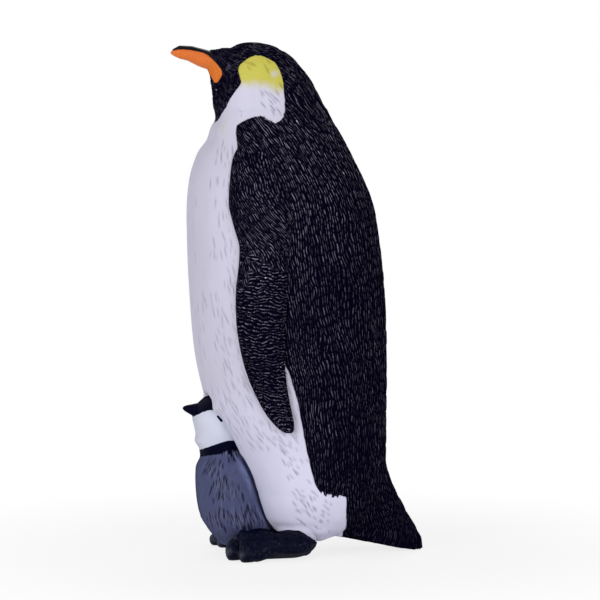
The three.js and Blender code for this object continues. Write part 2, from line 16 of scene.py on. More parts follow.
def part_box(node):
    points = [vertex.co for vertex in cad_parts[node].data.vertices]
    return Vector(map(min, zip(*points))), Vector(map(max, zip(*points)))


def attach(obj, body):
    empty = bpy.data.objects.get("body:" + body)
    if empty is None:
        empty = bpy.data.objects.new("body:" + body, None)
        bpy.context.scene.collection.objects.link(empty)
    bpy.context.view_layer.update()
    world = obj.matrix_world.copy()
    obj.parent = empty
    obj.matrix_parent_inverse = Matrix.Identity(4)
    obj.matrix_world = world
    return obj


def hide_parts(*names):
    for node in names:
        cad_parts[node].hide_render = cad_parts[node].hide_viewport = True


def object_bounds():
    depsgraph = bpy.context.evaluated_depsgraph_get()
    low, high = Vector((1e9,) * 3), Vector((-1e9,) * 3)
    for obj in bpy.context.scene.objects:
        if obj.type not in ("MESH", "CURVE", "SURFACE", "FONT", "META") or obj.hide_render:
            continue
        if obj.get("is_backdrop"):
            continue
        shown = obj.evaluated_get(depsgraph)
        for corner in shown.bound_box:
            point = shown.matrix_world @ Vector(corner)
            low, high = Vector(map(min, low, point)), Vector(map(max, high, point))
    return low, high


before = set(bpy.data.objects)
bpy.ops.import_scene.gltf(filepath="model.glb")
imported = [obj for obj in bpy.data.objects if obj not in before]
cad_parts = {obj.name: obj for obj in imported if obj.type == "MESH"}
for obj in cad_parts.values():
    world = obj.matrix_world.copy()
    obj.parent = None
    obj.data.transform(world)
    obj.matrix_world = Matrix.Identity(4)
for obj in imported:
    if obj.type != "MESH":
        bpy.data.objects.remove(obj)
CAD_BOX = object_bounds()

log = logging.getLogger("figurine")

Array = np.ndarray
Pair = tuple[float, float]
Triple = tuple[float, float, float]
Colour = tuple[float, float, float, float]
Cells = tuple[int, int]
Layers = dict[str, np.ndarray]
Piece = bpy.types.Object
Material = bpy.types.Material
Socket = bpy.types.NodeSocket
Outputs = bpy.types.bpy_prop_collection
Values = dict[str | int, object]

# Millimetres in this file, metres in the meshes
MM = 0.001
CLEAR_OF_FIGURE = 60.0
WELD = 0.001
TINY = 1e-9
CHANCE_TURNS = (12.71, 4.17)
CHANCE_GAIN = 91.7
PATCH_STRAY = 0.3
PATCH_LIMIT = 1.5
WHITE = (1.0, 1.0, 1.0, 1.0)
BODY = "root"


class Slot(str, Enum):
    """The record's finishes."""

    WHITE_FEATHERS = "white_feathers"
    BLACK_FEATHERS = "black_feathers"
    ORANGE_BILL = "orange_bill"
    BLACK_FEET = "black_feet"
    GREY_DOWN = "grey_down"
    WHITE_DOWN = "white_down"


class Side(Enum):
    """The two sides of the bird, by the sign of X."""

    LEFT = 1
    RIGHT = -1


# Sums on grids


def ease(low: float, high: float, value: Array) -> Array:
    """Ease from 0 at low to 1 at high, which may lie below low."""
    share = np.clip((value - low) / (high - low), 0.0, 1.0)
    return share * share * (3.0 - 2.0 * share)


def blurred(values: Array, rows: float, columns: float, closed: bool = True) -> Array:
    """Blur a grid by a bell curve.

    Args:
        values: the grid
        rows: spread of the curve over the rows
        columns: spread of the curve over the columns
        closed: whether the last column meets the first

    Returns:
        The blurred grid.
    """
    reach = 4.0
    tall, wide = values.shape
    above = min(int(reach * rows) + 1, tall - 1)
    beside = 0 if closed else min(int(reach * columns) + 1, wide - 1)
    padded = np.pad(values, ((above, above), (beside, beside)), mode="reflect", reflect_type="odd")
    down = np.fft.fftfreq(padded.shape[0])[:, None] * rows
    across = np.fft.rfftfreq(padded.shape[1])[None, :] * columns
    gain = np.exp(-2.0 * math.pi**2 * (down**2 + across**2))
    smooth = np.fft.irfft2(np.fft.rfft2(padded) * gain, s=padded.shape)
    return smooth[above:above + tall, beside:beside + wide]


def smoothed(values: Array, rows: float, columns: float, closed: bool = True) -> Array:
    """Smooth a grid and give back most of the broad form that a blur would take."""
    once = blurred(values, rows, columns, closed)
    return 2.0 * once - blurred(once, rows, columns, closed)


def widest(values: Array, rows: int, columns: int) -> Array:
    """Give the greatest value within a window round each cell.

    Args:
        values: the grid, whose last column meets its first
        rows: reach of the window up and down
        columns: reach of the window to each side

    Returns:
        The grid of greatest values.
    """
    wide = values
    for shift in range(-columns, columns + 1):
        wide = np.maximum(wide, np.roll(values, shift, axis=1))
    padded = np.pad(wide, ((rows, rows), (0, 0)), mode="edge")
    windows = [padded[shift:shift + len(values)] for shift in range(2 * rows + 1)]
    return np.maximum.reduce(windows)


def bridged(values: Array, rows: int, columns: int) -> Array:
    """Close the notches of a grid that are narrower than a window."""
    margin = 2 * rows
    padded = np.pad(values, ((margin, margin), (0, 0)), mode="edge")
    return -widest(-widest(padded, rows, columns), rows, columns)[margin:len(values) + margin]


def filled(values: Array, holes: Array, reach: float, rounds: int) -> Array:
    """Stretch a smooth film over the holes of a grid.

    Args:
        values: the grid
        holes: which cells are missing
        reach: spread, in cells, of the first guess
        rounds: how often the film is relaxed

    Returns:
        The grid with its holes filled.
    """
    sound = np.where(holes, 0.0, values)
    weight = blurred((~holes).astype(float), reach, reach)
    film = np.where(holes, blurred(sound, reach, reach) / np.maximum(weight, TINY), values)
    for _ in range(rounds):
        above = np.vstack((film[1:], film[-1:]))
        below = np.vstack((film[:1], film[:-1]))
        beside = np.roll(film, 1, axis=1) + np.roll(film, -1, axis=1)
        film = np.where(holes, (above + below + beside) / 4.0, film)
    return film


def cloud(shape: Cells, rows: float, columns: float, seed: int) -> Array:
    """Draw smooth random patches of a size in cells, which stray from zero by about one."""
    values = blurred(np.random.default_rng(seed).normal(size=shape), rows, columns)
    return values / values.std()


def chance(first: Array, second: Array | float) -> Array:
    """Draw a number from 0 to 1 that depends on two whole numbers only."""
    return np.mod(np.sin(first * CHANCE_TURNS[0] + second * CHANCE_TURNS[1]) * CHANCE_GAIN, 1.0)


def uneven(shape: Cells, cells: Pair, seed: int) -> Array:
    """Draw brightness that strays from one, in patches of a size in rows and columns."""
    return 1.0 + PATCH_STRAY * np.clip(cloud(shape, *cells, seed), -PATCH_LIMIT, PATCH_LIMIT)


def read_off(line: tuple[Pair, ...], place: Array) -> Array:
    """Read the height of a line of points at each place along it."""
    return np.interp(place, *zip(*line))


def way_to(azimuth: float, elevation: float) -> Array:
    """Give the way to a place, in degrees to the left of the figure's front and above the table."""
    turn, lift = math.radians(azimuth), math.radians(elevation)
    return np.array((math.sin(turn) * math.cos(lift), -math.cos(turn) * math.cos(lift), math.sin(lift)))


# The photograph


@dataclass(frozen=True)
class PhotoView:
    """The photograph's viewpoint, in millimetres, degrees and pixels of its square frame."""

    azimuth: float = 80.0
    elevation: float = 4.5
    distance: float = 700.0
    pixels_per_mm: float = 5.4
    frame_pixels: float = 600.0
    target: Triple = (0.0, 0.42, 46.8)

    def ways(self) -> tuple[Array, Array, Array]:
        """Give the ways right, up and back to the camera."""
        back = way_to(self.azimuth, self.elevation)
        turn = math.radians(self.azimuth)
        right = np.array((math.cos(turn), math.sin(turn), 0.0))
        return right, np.cross(back, right), back

    def pixels(self, points: Array) -> Array:
        """Project points into the frame, with the far side mirrored to the near one.

        Args:
            points: places in millimetres, with the axes last

        Returns:
            Pixels across and down, last.
        """
        right, up, back = self.ways()
        near = points.copy()
        near[..., 0] = np.abs(near[..., 0])
        offset = near - np.array(self.target)
        scale = self.pixels_per_mm * self.distance / (self.distance - offset @ back)
        middle = self.frame_pixels / 2.0
        return np.stack((middle + offset @ right * scale, middle - offset @ up * scale), axis=-1)


PHOTO = PhotoView()


@dataclass(frozen=True)
class Outline:
    """A closed paint edge in the photograph's frame, with its corners cut at a share of each side."""

    points: tuple[Pair, ...]
    corner_cut: float = 0.25

    def rounded(self) -> Array:
        """Cut each corner of the outline, which leaves two in its place."""
        corners = np.array(self.points)
        sides = (np.roll(corners, -1, axis=0) - corners) * self.corner_cut
        return np.stack((corners + sides, np.roll(corners, -1, axis=0) - sides), axis=1).reshape(-1, 2)

    def depth(self, pixels: Array) -> Array:
        """Measure how deep places lie inside.

        Args:
            pixels: places in the photograph's frame

        Returns:
            Millimetres inside the outline, below zero outside it.
        """
        flat = pixels.reshape(-1, 2)
        nearest = np.full(len(flat), np.inf)
        inside = np.zeros(len(flat), bool)
        corners = self.rounded()
        for start, end in zip(corners, np.roll(corners, -1, axis=0)):
            edge = end - start
            offset = flat - start
            share = np.clip(offset @ edge / max(edge @ edge, TINY), 0.0, 1.0)
            apart = offset - share[:, None] * edge
            nearest = np.minimum(nearest, np.einsum("ij,ij->i", apart, apart))
            crosses = (start[1] > flat[:, 1]) != (end[1] > flat[:, 1])
            reach = start[0] + offset[:, 1] * edge[0] / (edge[1] or TINY)
            inside ^= crosses & (flat[:, 0] < reach)
        span = np.sqrt(nearest) / PHOTO.pixels_per_mm
        return np.where(inside, span, -span).reshape(pixels.shape[:-1])


def spot(pixels: Array, place: Triple) -> Array:
    """Draw a soft spot of the photograph, given its middle and its radius."""
    apart = np.linalg.norm(pixels - np.array(place[:2]), axis=-1)
    return np.exp(-((apart / place[2]) ** 2))


def spots(pixels: Array, places: tuple[Triple, ...]) -> Array:
    """Draw several soft spots of the photograph."""
    return sum(spot(pixels, place) for place in places)


# Rays at the construction solids


class SolidTree:
    """The faces of some nodes, in millimetres, to cast rays at."""

    def __init__(self, *nodes: str) -> None:
        """Gather the faces of the named nodes."""
        corners: list[Vector] = []
        faces: list[list[int]] = []
        self.owner: list[int] = []
        for index, node in enumerate(nodes):
            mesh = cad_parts[node].data
            mesh.calc_loop_triangles()
            first = len(corners)
            corners.extend(vertex.co / MM for vertex in mesh.vertices)
            for triangle in mesh.loop_triangles:
                faces.append([first + corner for corner in triangle.vertices])
                self.owner.append(index)
        self.tree = BVHTree.FromPolygons(corners, faces)

    def cast(self, starts: Array, ways: Array) -> tuple[Array, Array]:
        """Cast rays.

        Args:
            starts: where the rays start
            ways: which way each goes

        Returns:
            Each ray's length, not a number where it misses, and the node that it meets, or -1.
        """
        shape = starts.shape[:-1]
        lengths = []
        owners = []
        for start, way in zip(starts.reshape(-1, 3).tolist(), ways.reshape(-1, 3).tolist()):
            _, _, face, length = self.tree.ray_cast(start, way)
            lengths.append(math.nan if face is None else length)
            owners.append(-1 if face is None else self.owner[face])
        return np.array(lengths).reshape(shape), np.array(owners).reshape(shape)

    def close_to(self, points: Array, reach: float) -> Array:
        """Say which points lie within reach of the solids."""
        flat = points.reshape(-1, 3).tolist()
        found = [self.tree.find_nearest(point, reach)[2] is not None for point in flat]
        return np.array(found).reshape(points.shape[:-1])


# Carved skins


@dataclass(frozen=True)
class Stroke:
    """A tool stroke that is repeated over a skin, in millimetres and degrees.

    Attributes:
        rise: spacing of the strokes up the skin
        round: spacing of the strokes round the skin
        half_width: half of the groove's width
        least: the smallest stroke's share of the greatest
        scatter: how far the strokes stray from their flow
        jitter: how far they stray round the skin, as a share of their spacing
    """

    rise: float
    round: float
    length: float
    half_width: float
    depth: float
    least: float = 0.55
    scatter: float = 7.0
    jitter: float = 0.7


@dataclass(frozen=True)
class Mark:
    """One tool mark: its place, its share of the greatest size, its turn in radians, and a random draw."""

    row: int
    column: int
    size: float
    turn: float
    chance: float


class Skin:
    """Rows of points round a form, from the bottom up, how deep each is carved and how far it is raised."""

    def __init__(self, points: Array) -> None:
        """Measure the skin's cells and the way out of it."""
        self.points = points
        self.carve = np.zeros(points.shape[:2])
        self.raised = np.zeros(points.shape[:2])
        self.round_step = np.linalg.norm(np.roll(points, -1, axis=1) - points, axis=-1)
        climb = np.linalg.norm(np.diff(points, axis=0), axis=-1)
        self.rise_step = np.vstack((climb, climb[-1:]))
        across = np.roll(points, -1, axis=1) - np.roll(points, 1, axis=1)
        outward = np.cross(across, np.gradient(points, axis=0))
        self.outward = outward / np.maximum(np.linalg.norm(outward, axis=-1, keepdims=True), TINY)

    def scatter(self, stroke: Stroke, tilt: Array, seed: int) -> Iterator[Mark]:
        """Strew marks evenly over the skin.

        Args:
            stroke: the kind of stroke
            tilt: degrees from straight down towards the next column
            seed: start of the random draws

        Yields:
            The marks.
        """
        random = np.random.default_rng(seed)
        rows, columns = self.carve.shape
        path = np.concatenate(([0.0], np.cumsum(self.rise_step[:-1].mean(axis=1))))
        for band in np.arange(0.0, path[-1], stroke.rise):
            girth = self.round_step[np.searchsorted(path, band)].sum()
            count = int(girth / stroke.round) + 1
            shift = stroke.jitter * random.uniform(-0.5, 0.5, size=count) + random.uniform()
            places = ((np.arange(count) + shift) * columns / count).astype(int) % columns
            heights = band + stroke.rise * random.uniform(size=count)
            levels = np.minimum(np.searchsorted(path, heights), rows - 1)
            sizes = random.uniform(stroke.least, 1.0, size=count)
            turns = np.radians(tilt[levels, places] + random.normal(scale=stroke.scatter, size=count))
            chances = random.uniform(size=count)
            for values in zip(levels.tolist(), places.tolist(), sizes, turns.tolist(), chances):
                yield Mark(*values)

    def window(self, mark: Mark, reach: float, spread: float) -> tuple[tuple[Array, Array], Array, Array]:
        """Look at the skin round a mark.

        Args:
            mark: the mark
            reach: how far the window reaches along the mark
            spread: how far it reaches to each side

        Returns:
            The window's cells, and how far each lies along the mark and beside it.
        """
        rows, columns = self.carve.shape
        rise = max(self.rise_step[mark.row, mark.column], TINY)
        step = max(self.round_step[mark.row, mark.column], TINY)
        sine = math.sin(mark.turn)
        cosine = math.cos(mark.turn)
        tall = min(int((reach * abs(cosine) + spread * abs(sine)) / rise) + 1, rows // 2)
        wide = min(int((reach * abs(sine) + spread * abs(cosine)) / step) + 1, columns // 4)
        up = np.arange(max(mark.row - tall, 0), min(mark.row + tall + 1, rows))
        beside = np.arange(mark.column - wide, mark.column + wide + 1)
        drop = (mark.row - up)[:, None] * rise
        aside = (beside - mark.column)[None, :] * step
        return np.ix_(up, beside % columns), drop * cosine + aside * sine, aside * cosine - drop * sine

    def strokes(self, stroke: Stroke, keep: Array, tilt: Array, seed: int) -> Array:
        """Lay out separate strokes, tapered at both ends.

        Args:
            stroke: the kind of stroke
            keep: chance of a stroke at each point
            tilt: degrees from straight down towards the next column
            seed: start of the random draws

        Returns:
            The depth of the strokes at each point.
        """
        depth = np.zeros(self.carve.shape)
        for mark in self.scatter(stroke, tilt, seed):
            if mark.chance < keep[mark.row, mark.column]:
                half = stroke.length * mark.size / 2.0
                place, along, off = self.window(mark, half, stroke.half_width)
                taper = np.clip(1.0 - (along / half) ** 2, 0.0, 1.0)
                section = np.cos(np.clip(off / stroke.half_width, -1.0, 1.0) * math.pi / 2.0) ** 2
                depth[place] = np.maximum(depth[place], stroke.depth * mark.size * taper * section)
        return depth

    def scratch(self, stroke: Stroke, keep: Array, tilt: Array, seed: int) -> None:
        """Cut strokes into the skin, with the values that the strokes take."""
        self.carve = np.minimum(self.carve, -self.strokes(stroke, keep, tilt, seed))

    def build(self, name: str, layers: Layers, owners: Array | None = None) -> Piece:
        """Model the skin as a mesh.

        Args:
            name: the piece's name
            layers: what the paint reads at each point, by attribute name
            owners: material number of each face, if it has several

        Returns:
            The piece, with its seam and its two ends welded.
        """
        shaped = self.points + self.outward * (self.carve + self.raised)[..., None]
        looped = np.concatenate((shaped, shaped[:, :1]), axis=1)
        rows, columns, _ = looped.shape
        bpy.ops.object.select_all(action="DESELECT")
        bpy.ops.mesh.primitive_grid_add(
            x_subdivisions=columns - 1, y_subdivisions=rows - 1, size=1.0, location=(0.0, 0.0, 0.0)
        )
        piece = bpy.context.object
        piece.name = name
        piece.data.name = name
        for layer, values in {**layers, "carve": self.carve}.items():
            write_layer(piece, layer, np.concatenate((values, values[:, :1]), axis=1).ravel())
        if owners is not None:
            piece.data.polygons.foreach_set("material_index", owners.ravel())
        move_points(piece, looped)
        weld(piece)
        bpy.ops.object.shade_smooth()
        return piece


@dataclass(frozen=True)
class Comb:
    """Feathers as ridges in lanes, each lane broken into dashes, in millimetres and cells of the skin.

    Attributes:
        pitch: spacing of the lanes
        bundle: how many lanes and dashes a carved feather takes in
        half_width: half of a carved feather's width, as a share of its own lane
        stray: how far a dash lies off its lane's middle, as a share of the lane
        wobble: how far the lanes and the dashes wander, in their own numbers
        start: shares of its dash over which a feather comes up
        lowest: height of the lowest feather, as a share of the highest
    """

    pitch: float = 0.45
    length: float = 1.8
    bundle: float = 2.0
    half_width: float = 0.42
    stray: float = 0.4
    depth: float = 0.2
    wobble: float = 0.5
    wobble_cells: Pair = (8.0, 9.0)
    dash_cells: Pair = (9.0, 9.0)
    tremble: float = 0.22
    tremble_cells: Pair = (2.5, 2.5)
    start: Pair = (0.0, 0.2)
    end: Pair = (1.0, 0.6)
    lowest: float = 0.3

    def lay(self, aside: Array, along: Array, seed: int) -> tuple[Array, Array]:
        """Lay out the lanes.

        Args:
            aside: millimetres across the feathers
            along: millimetres down the feathers
            seed: start of the random draws

        Returns:
            The number of each point's lane and of its dash, with their parts.
        """
        shape = aside.shape
        wander = self.wobble * cloud(shape, *self.wobble_cells, seed)
        wander += self.tremble * cloud(shape, *self.tremble_cells, seed + 1)
        drift = self.wobble * cloud(shape, *self.dash_cells, seed + 2)
        return aside / self.pitch + wander, along / self.length + drift

    def carve(self, skin: Skin, keep: Array, lane: Array, run: Array) -> None:
        """Carve the skin between the ridges.

        Args:
            skin: the skin
            keep: share of the depth at each point
            lane: number of the lane
            run: number of the dash
        """
        row = np.floor(lane / self.bundle)
        down = run / self.bundle + chance(row, 0.0)
        dash = np.floor(down)
        share = down - dash
        off = lane / self.bundle - row - 0.5 - self.stray * (chance(dash, row) - 0.5)
        ends = ease(*self.start, share) * ease(*self.end, share)
        height = self.lowest + (1.0 - self.lowest) * chance(row, dash)
        ridge = ends * ease(self.half_width, 0.0, np.abs(off)) * height
        skin.carve -= self.depth * keep * (1.0 - ridge)


# Work at the bench


def hold(piece: Piece) -> None:
    """Select one piece alone and make it active."""
    bpy.ops.object.select_all(action="DESELECT")
    piece.select_set(True)
    bpy.context.view_layer.objects.active = piece


@contextmanager
def editing(piece: Piece) -> Iterator[None]:
    """Open a piece for editing, with all of it selected."""
    hold(piece)
    bpy.ops.object.mode_set(mode="EDIT")
    bpy.ops.mesh.select_all(action="SELECT")
    yield
    bpy.ops.object.mode_set(mode="OBJECT")


def weld(piece: Piece) -> None:
    """Merge the points of a piece that lie in one place."""
    with editing(piece):
        bpy.ops.mesh.remove_doubles(threshold=WELD * MM)


def close_rim(piece: Piece) -> None:
    """Close the open rim of a piece with a hidden face, where it meets its neighbour."""
    with editing(piece):
        bpy.ops.mesh.select_mode(type="EDGE")
        bpy.ops.mesh.select_all(action="DESELECT")
        bpy.ops.mesh.select_non_manifold(
            extend=False, use_wire=False, use_boundary=True, use_multi_face=False,
            use_non_contiguous=False, use_verts=False,
        )
        bpy.ops.mesh.mark_sharp()
        bpy.ops.mesh.edge_face_add()
        bpy.ops.mesh.select_all(action="SELECT")
        bpy.ops.mesh.normals_make_consistent(inside=False)


def use(piece: Piece, kind: str, **settings: object) -> None:
    """Add a modifier to a piece and apply it.

    Args:
        piece: the piece
        kind: the modifier's type
        settings: its values by name
    """
    hold(piece)
    modifier = piece.modifiers.new(kind.lower(), kind)
    for name, value in settings.items():
        setattr(modifier, name, value)
    bpy.ops.object.modifier_apply(modifier=modifier.name)


def relax(piece: Piece, rounds: int, group: str = "") -> None:
    """Smooth the points of a piece, or of one of its vertex groups."""
    use(piece, "SMOOTH", iterations=rounds, vertex_group=group)


def cast_of(node: str, name: str, voxel: float) -> Piece:
    """Take an even, closed cast of a construction solid.

    Args:
        node: the solid's node
        name: the piece's name
        voxel: spacing of the cast's points in millimetres

    Returns:
        The cast.
    """
    piece = bpy.data.objects.new(name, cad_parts[node].data.copy())
    piece.data.name = name
    piece.data.materials.clear()
    bpy.context.scene.collection.objects.link(piece)
    weld(piece)
    use(piece, "REMESH", mode="VOXEL", voxel_size=voxel * MM)
    return piece


def points_of(piece: Piece) -> Array:
    """Read a piece's points in millimetres."""
    flat = np.empty(3 * len(piece.data.vertices))
    piece.data.vertices.foreach_get("co", flat)
    return flat.reshape(-1, 3) / MM


def normals_of(piece: Piece) -> Array:
    """Read the way out of a piece at each of its points."""
    flat = np.empty(3 * len(piece.data.vertices))
    piece.data.vertex_normals.foreach_get("vector", flat)
    return flat.reshape(-1, 3)


def move_points(piece: Piece, points: Array) -> None:
    """Move a piece's points to new places in millimetres."""
    piece.data.vertices.foreach_set("co", (points * MM).ravel())
    piece.data.update()


def write_layer(piece: Piece, layer: str, values: Array) -> None:
    """Write what the paint reads at each point of a piece."""
    attribute = piece.data.attributes.new(layer, "FLOAT", "POINT")
    attribute.data.foreach_set("value", values)


def seat(piece: Piece, node: str, slot: Slot) -> None:
    """Let a piece stand for its construction solid.

    Args:
        piece: the finished piece
        node: the solid that it stands for
        slot: the finish that it takes, not used
    """
    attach(piece, BODY)
    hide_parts(node)
    log.info("%s stands for %s with %d faces", piece.name, node, len(piece.data.polygons))


def dress(piece: Piece, node: str, slot: Slot, material: Material) -> None:
    """Give a piece smooth faces and its finish, and seat it.

    Args:
        piece: the finished piece
        node: the solid that it stands for
        slot: the finish that it takes
        material: the finish as it is mixed
    """
    hold(piece)
    bpy.ops.object.shade_smooth()
    piece.data.materials.append(material)
    seat(piece, node, slot)


def seat_parts(
    piece: Piece, materials: dict[str, Material], slots: tuple[Slot, ...], kind: str
) -> None:
    """Part a piece into one for each of its nodes, and seat the parts.

    Args:
        piece: the piece, whose faces hold the numbers of their nodes
        materials: the mixed finish of each node
        slots: the finish that each part takes
        kind: what a part is called after its node
    """
    for material in materials.values():
        piece.data.materials.append(material)
    with editing(piece):
        bpy.ops.mesh.separate(type="MATERIAL")
    parts = {part.material_slots[0].name: part for part in bpy.context.selected_objects}
    for (node, material), slot in zip(materials.items(), slots):
        part = parts[material.name]
        part.name = f"{node}_{kind}"
        close_rim(part)
        seat(part, node, slot)


# Finishes


class Sheet:
    """A node tree that is being drawn."""

    def __init__(self, tree: bpy.types.NodeTree) -> None:
        """Take a tree to draw on."""
        self.tree = tree

    def add(self, kind: str, values: Values | None = None, **settings: object) -> bpy.types.Node:
        """Add a node.

        Args:
            kind: the node's type
            values: what its input sockets hold, or the sockets that feed them
            settings: its own settings by name

        Returns:
            The node.
        """
        node = self.tree.nodes.new(kind)
        for name, value in settings.items():
            setattr(node, name, value)
        self.fill(node, values or {})
        return node

    def fill(self, node: bpy.types.Node, values: Values) -> None:
        """Fill the input sockets of a node.

        Args:
            node: the node
            values: what its sockets hold, or the sockets that feed them
        """
        for socket, value in values.items():
            if isinstance(value, Socket):
                self.tree.links.new(value, node.inputs[socket])
            else:
                node.inputs[socket].default_value = value

    def layer(self, name: str) -> Socket:
        """Read an attribute of the piece."""
        return self.add("ShaderNodeAttribute", attribute_name=name).outputs["Fac"]

    def sum(self, operation: str, first: object, second: object = 0.0, clamp: bool = False) -> Socket:
        """Work out one sum, of two values or of the first alone."""
        values = {0: first, 1: second}
        return self.add("ShaderNodeMath", values, operation=operation, use_clamp=clamp).outputs[0]

    def times(self, first: object, second: object) -> Socket:
        """Multiply two values."""
        return self.sum("MULTIPLY", first, second)

    def chance(self, first: object, second: object) -> Socket:
        """Draw the number that the function of this name draws."""
        turns = [self.times(value, turn) for value, turn in zip((first, second), CHANCE_TURNS)]
        wave = self.sum("SINE", self.sum("ADD", *turns))
        return self.sum("FRACT", self.times(wave, CHANCE_GAIN))

    def blend(self, share: object, first: object, second: object) -> Socket:
        """Blend two colours, by the numbers of their sockets, whose names the node repeats."""
        return self.add("ShaderNodeMix", {0: share, 6: first, 7: second}, data_type="RGBA").outputs[2]

    def mix(self, share: object, first: object, second: object) -> Socket:
        """Blend two values, by the numbers of their sockets."""
        return self.add("ShaderNodeMix", {0: share, 2: first, 3: second}, data_type="FLOAT").outputs[0]

    def ease(self, value: object, low: object, high: object) -> Socket:
        """Ease a value from 0 at low to 1 at high."""
        values = {0: value, 1: low, 2: high}
        return self.add("ShaderNodeMapRange", values, interpolation_type="SMOOTHSTEP").outputs[0]

    def noise(self, scale: object, detail: float, stretch: Triple) -> Socket:
        """Draw noise on the piece's own coordinates, drawn out by a stretch."""
        place = self.add("ShaderNodeTexCoord").outputs["Object"]
        drawn = self.add("ShaderNodeMapping", {"Vector": place, "Scale": stretch}).outputs[0]
        return self.add("ShaderNodeTexNoise", {"Vector": drawn, "Scale": scale, "Detail": detail}).outputs[0]


class Effect(str, Enum):
    """The effects that several finishes share, by the names of their node groups."""

    COAT = "Paint coat"
    # painted shade: a darker colour in the carved grooves
    WASH = "Groove wash"
    BRUSH = "Brushed tone"
    COMB = "Combed feathers"


FLOAT = "NodeSocketFloat"
COLOUR = "NodeSocketColor"
EVEN = (1.0, 1.0, 1.0)


class GroupSheet(Sheet):
    """The node group of a shared effect that is being drawn."""

    def __init__(self, effect: Effect, **inputs: str) -> None:
        """Start the group, with the kinds of its inputs."""
        super().__init__(bpy.data.node_groups.new(effect.value, "ShaderNodeTree"))
        for name, kind in inputs.items():
            self.tree.interface.new_socket(name=name, in_out="INPUT", socket_type=kind)
        self.given = self.add("NodeGroupInput").outputs

    def put_out(self, **outputs: Socket) -> None:
        """Give the group its outputs."""
        for name, socket in outputs.items():
            kind = COLOUR if socket.type == "RGBA" else FLOAT
            self.tree.interface.new_socket(name=name, in_out="OUTPUT", socket_type=kind)
        self.add("NodeGroupOutput", outputs)


@dataclass(frozen=True)
class Effects:
    """The effects that several finishes share, where a noise is a scale and a detail.

    Attributes:
        highlight_breakup: the noise where a ridge and its painted highlight break off, and where they are
            whole
        glint_start: shares of its dash over which a glint comes up
        luck: the draw above which a feather has a glint
    """

    edge_noise: Pair = (900.0, 2.0)
    edge_stretch: Triple = (1.0, 1.0, 0.45)
    tone_noise: Pair = (300.0, 3.0)
    tone_stretch: Triple = (1.0, 1.0, 0.25)
    grain_detail: float = 3.0
    grain_stretch: Triple = (1.0, 1.0, 0.3)
    faintest: float = 0.15
    highlight_breakup_noise: Pair = (1500.0, 2.0)
    highlight_breakup: Pair = (0.3, 0.6)
    glint_start: Pair = (0.3, 0.42)
    glint_end: Pair = (0.62, 0.5)
    luck: float = 0.9965

    def draw(self) -> None:
        """Draw each effect once."""
        self.draw_coat()
        self.draw_groove_shade()
        self.draw_brush()
        self.draw_comb()

    def draw_coat(self) -> None:
        """Draw a coat of paint laid over another, with a ragged edge."""
        sheet = GroupSheet(Effect.COAT, Under=COLOUR, Over=COLOUR, Depth=FLOAT, Ragged=FLOAT, Softness=FLOAT)
        given = sheet.given
        wander = sheet.sum("SUBTRACT", sheet.noise(*self.edge_noise, self.edge_stretch), 0.5)
        edge = sheet.times(wander, given["Ragged"])
        depth = sheet.sum("ADD", given["Depth"], edge)
        mask = sheet.ease(depth, sheet.times(given["Softness"], -1.0), given["Softness"])
        colour = sheet.blend(mask, given["Under"], given["Over"])
        sheet.put_out(Color=colour, Mask=mask)

    @staticmethod
    def draw_groove_shade() -> None:
        """Draw painted shade: a darker colour in the grooves, which leaves the ridges."""
        sheet = GroupSheet(Effect.WASH, Ridge=COLOUR, Groove=COLOUR, Carve=FLOAT, Full=FLOAT)
        given = sheet.given
        depth = sheet.times(given["Carve"], -1.0)
        share = sheet.sum("DIVIDE", depth, given["Full"], clamp=True)
        colour = sheet.blend(share, given["Ridge"], given["Groove"])
        sheet.put_out(Color=colour, Mask=share)

    def draw_brush(self) -> None:
        """Draw the uneven tone and the fine grain that a brush leaves."""
        sheet = GroupSheet(Effect.BRUSH, Color=COLOUR, Unevenness=FLOAT, Grain=FLOAT)
        given = sheet.given
        stray = sheet.sum("SUBTRACT", sheet.noise(*self.tone_noise, self.tone_stretch), 0.5)
        change = sheet.times(stray, given["Unevenness"])
        tone = sheet.sum("ADD", change, 1.0)
        toned = sheet.add("ShaderNodeHueSaturation", {"Color": given["Color"], "Value": tone}).outputs[0]
        height = sheet.noise(given["Grain"], self.grain_detail, self.grain_stretch)
        sheet.put_out(Color=toned, Height=height)

    def draw_comb(self) -> None:
        """Draw the thin ridges of feathers that lie in lanes, each lane broken into dashes, whose brightness
        the finishes paint as highlights, with rare painted glints.
        """
        sheet = GroupSheet(Effect.COMB, Lane=FLOAT, Run=FLOAT, Width=FLOAT, Stray=FLOAT)
        given = sheet.given
        row = sheet.sum("FLOOR", given["Lane"])
        down = sheet.sum("ADD", given["Run"], sheet.chance(row, 0.0))
        dash = sheet.sum("FLOOR", down)
        share = sheet.sum("SUBTRACT", down, dash)
        aside = sheet.times(sheet.sum("SUBTRACT", sheet.chance(dash, row), 0.5), given["Stray"])
        middle = sheet.sum("ADD", sheet.sum("ADD", row, 0.5), aside)
        off = sheet.sum("ABSOLUTE", sheet.sum("SUBTRACT", given["Lane"], middle))
        line = sheet.sum("SUBTRACT", 1.0, sheet.ease(off, 0.0, given["Width"]))
        ends = sheet.times(sheet.ease(share, *Comb.start), sheet.ease(share, *Comb.end))
        draw = sheet.chance(row, dash)
        fate = sheet.mix(draw, self.faintest, 1.0)
        highlight_paint = sheet.ease(sheet.noise(*self.highlight_breakup_noise, EVEN), *self.highlight_breakup)
        ridge = sheet.times(sheet.times(line, ends), sheet.times(fate, highlight_paint))
        start = sheet.ease(share, *self.glint_start)
        short = sheet.times(start, sheet.ease(share, *self.glint_end))
        lucky = sheet.sum("GREATER_THAN", draw, self.luck)
        glint = sheet.times(sheet.times(line, short), lucky)
        sheet.put_out(Ridge=ridge, Glint=glint)


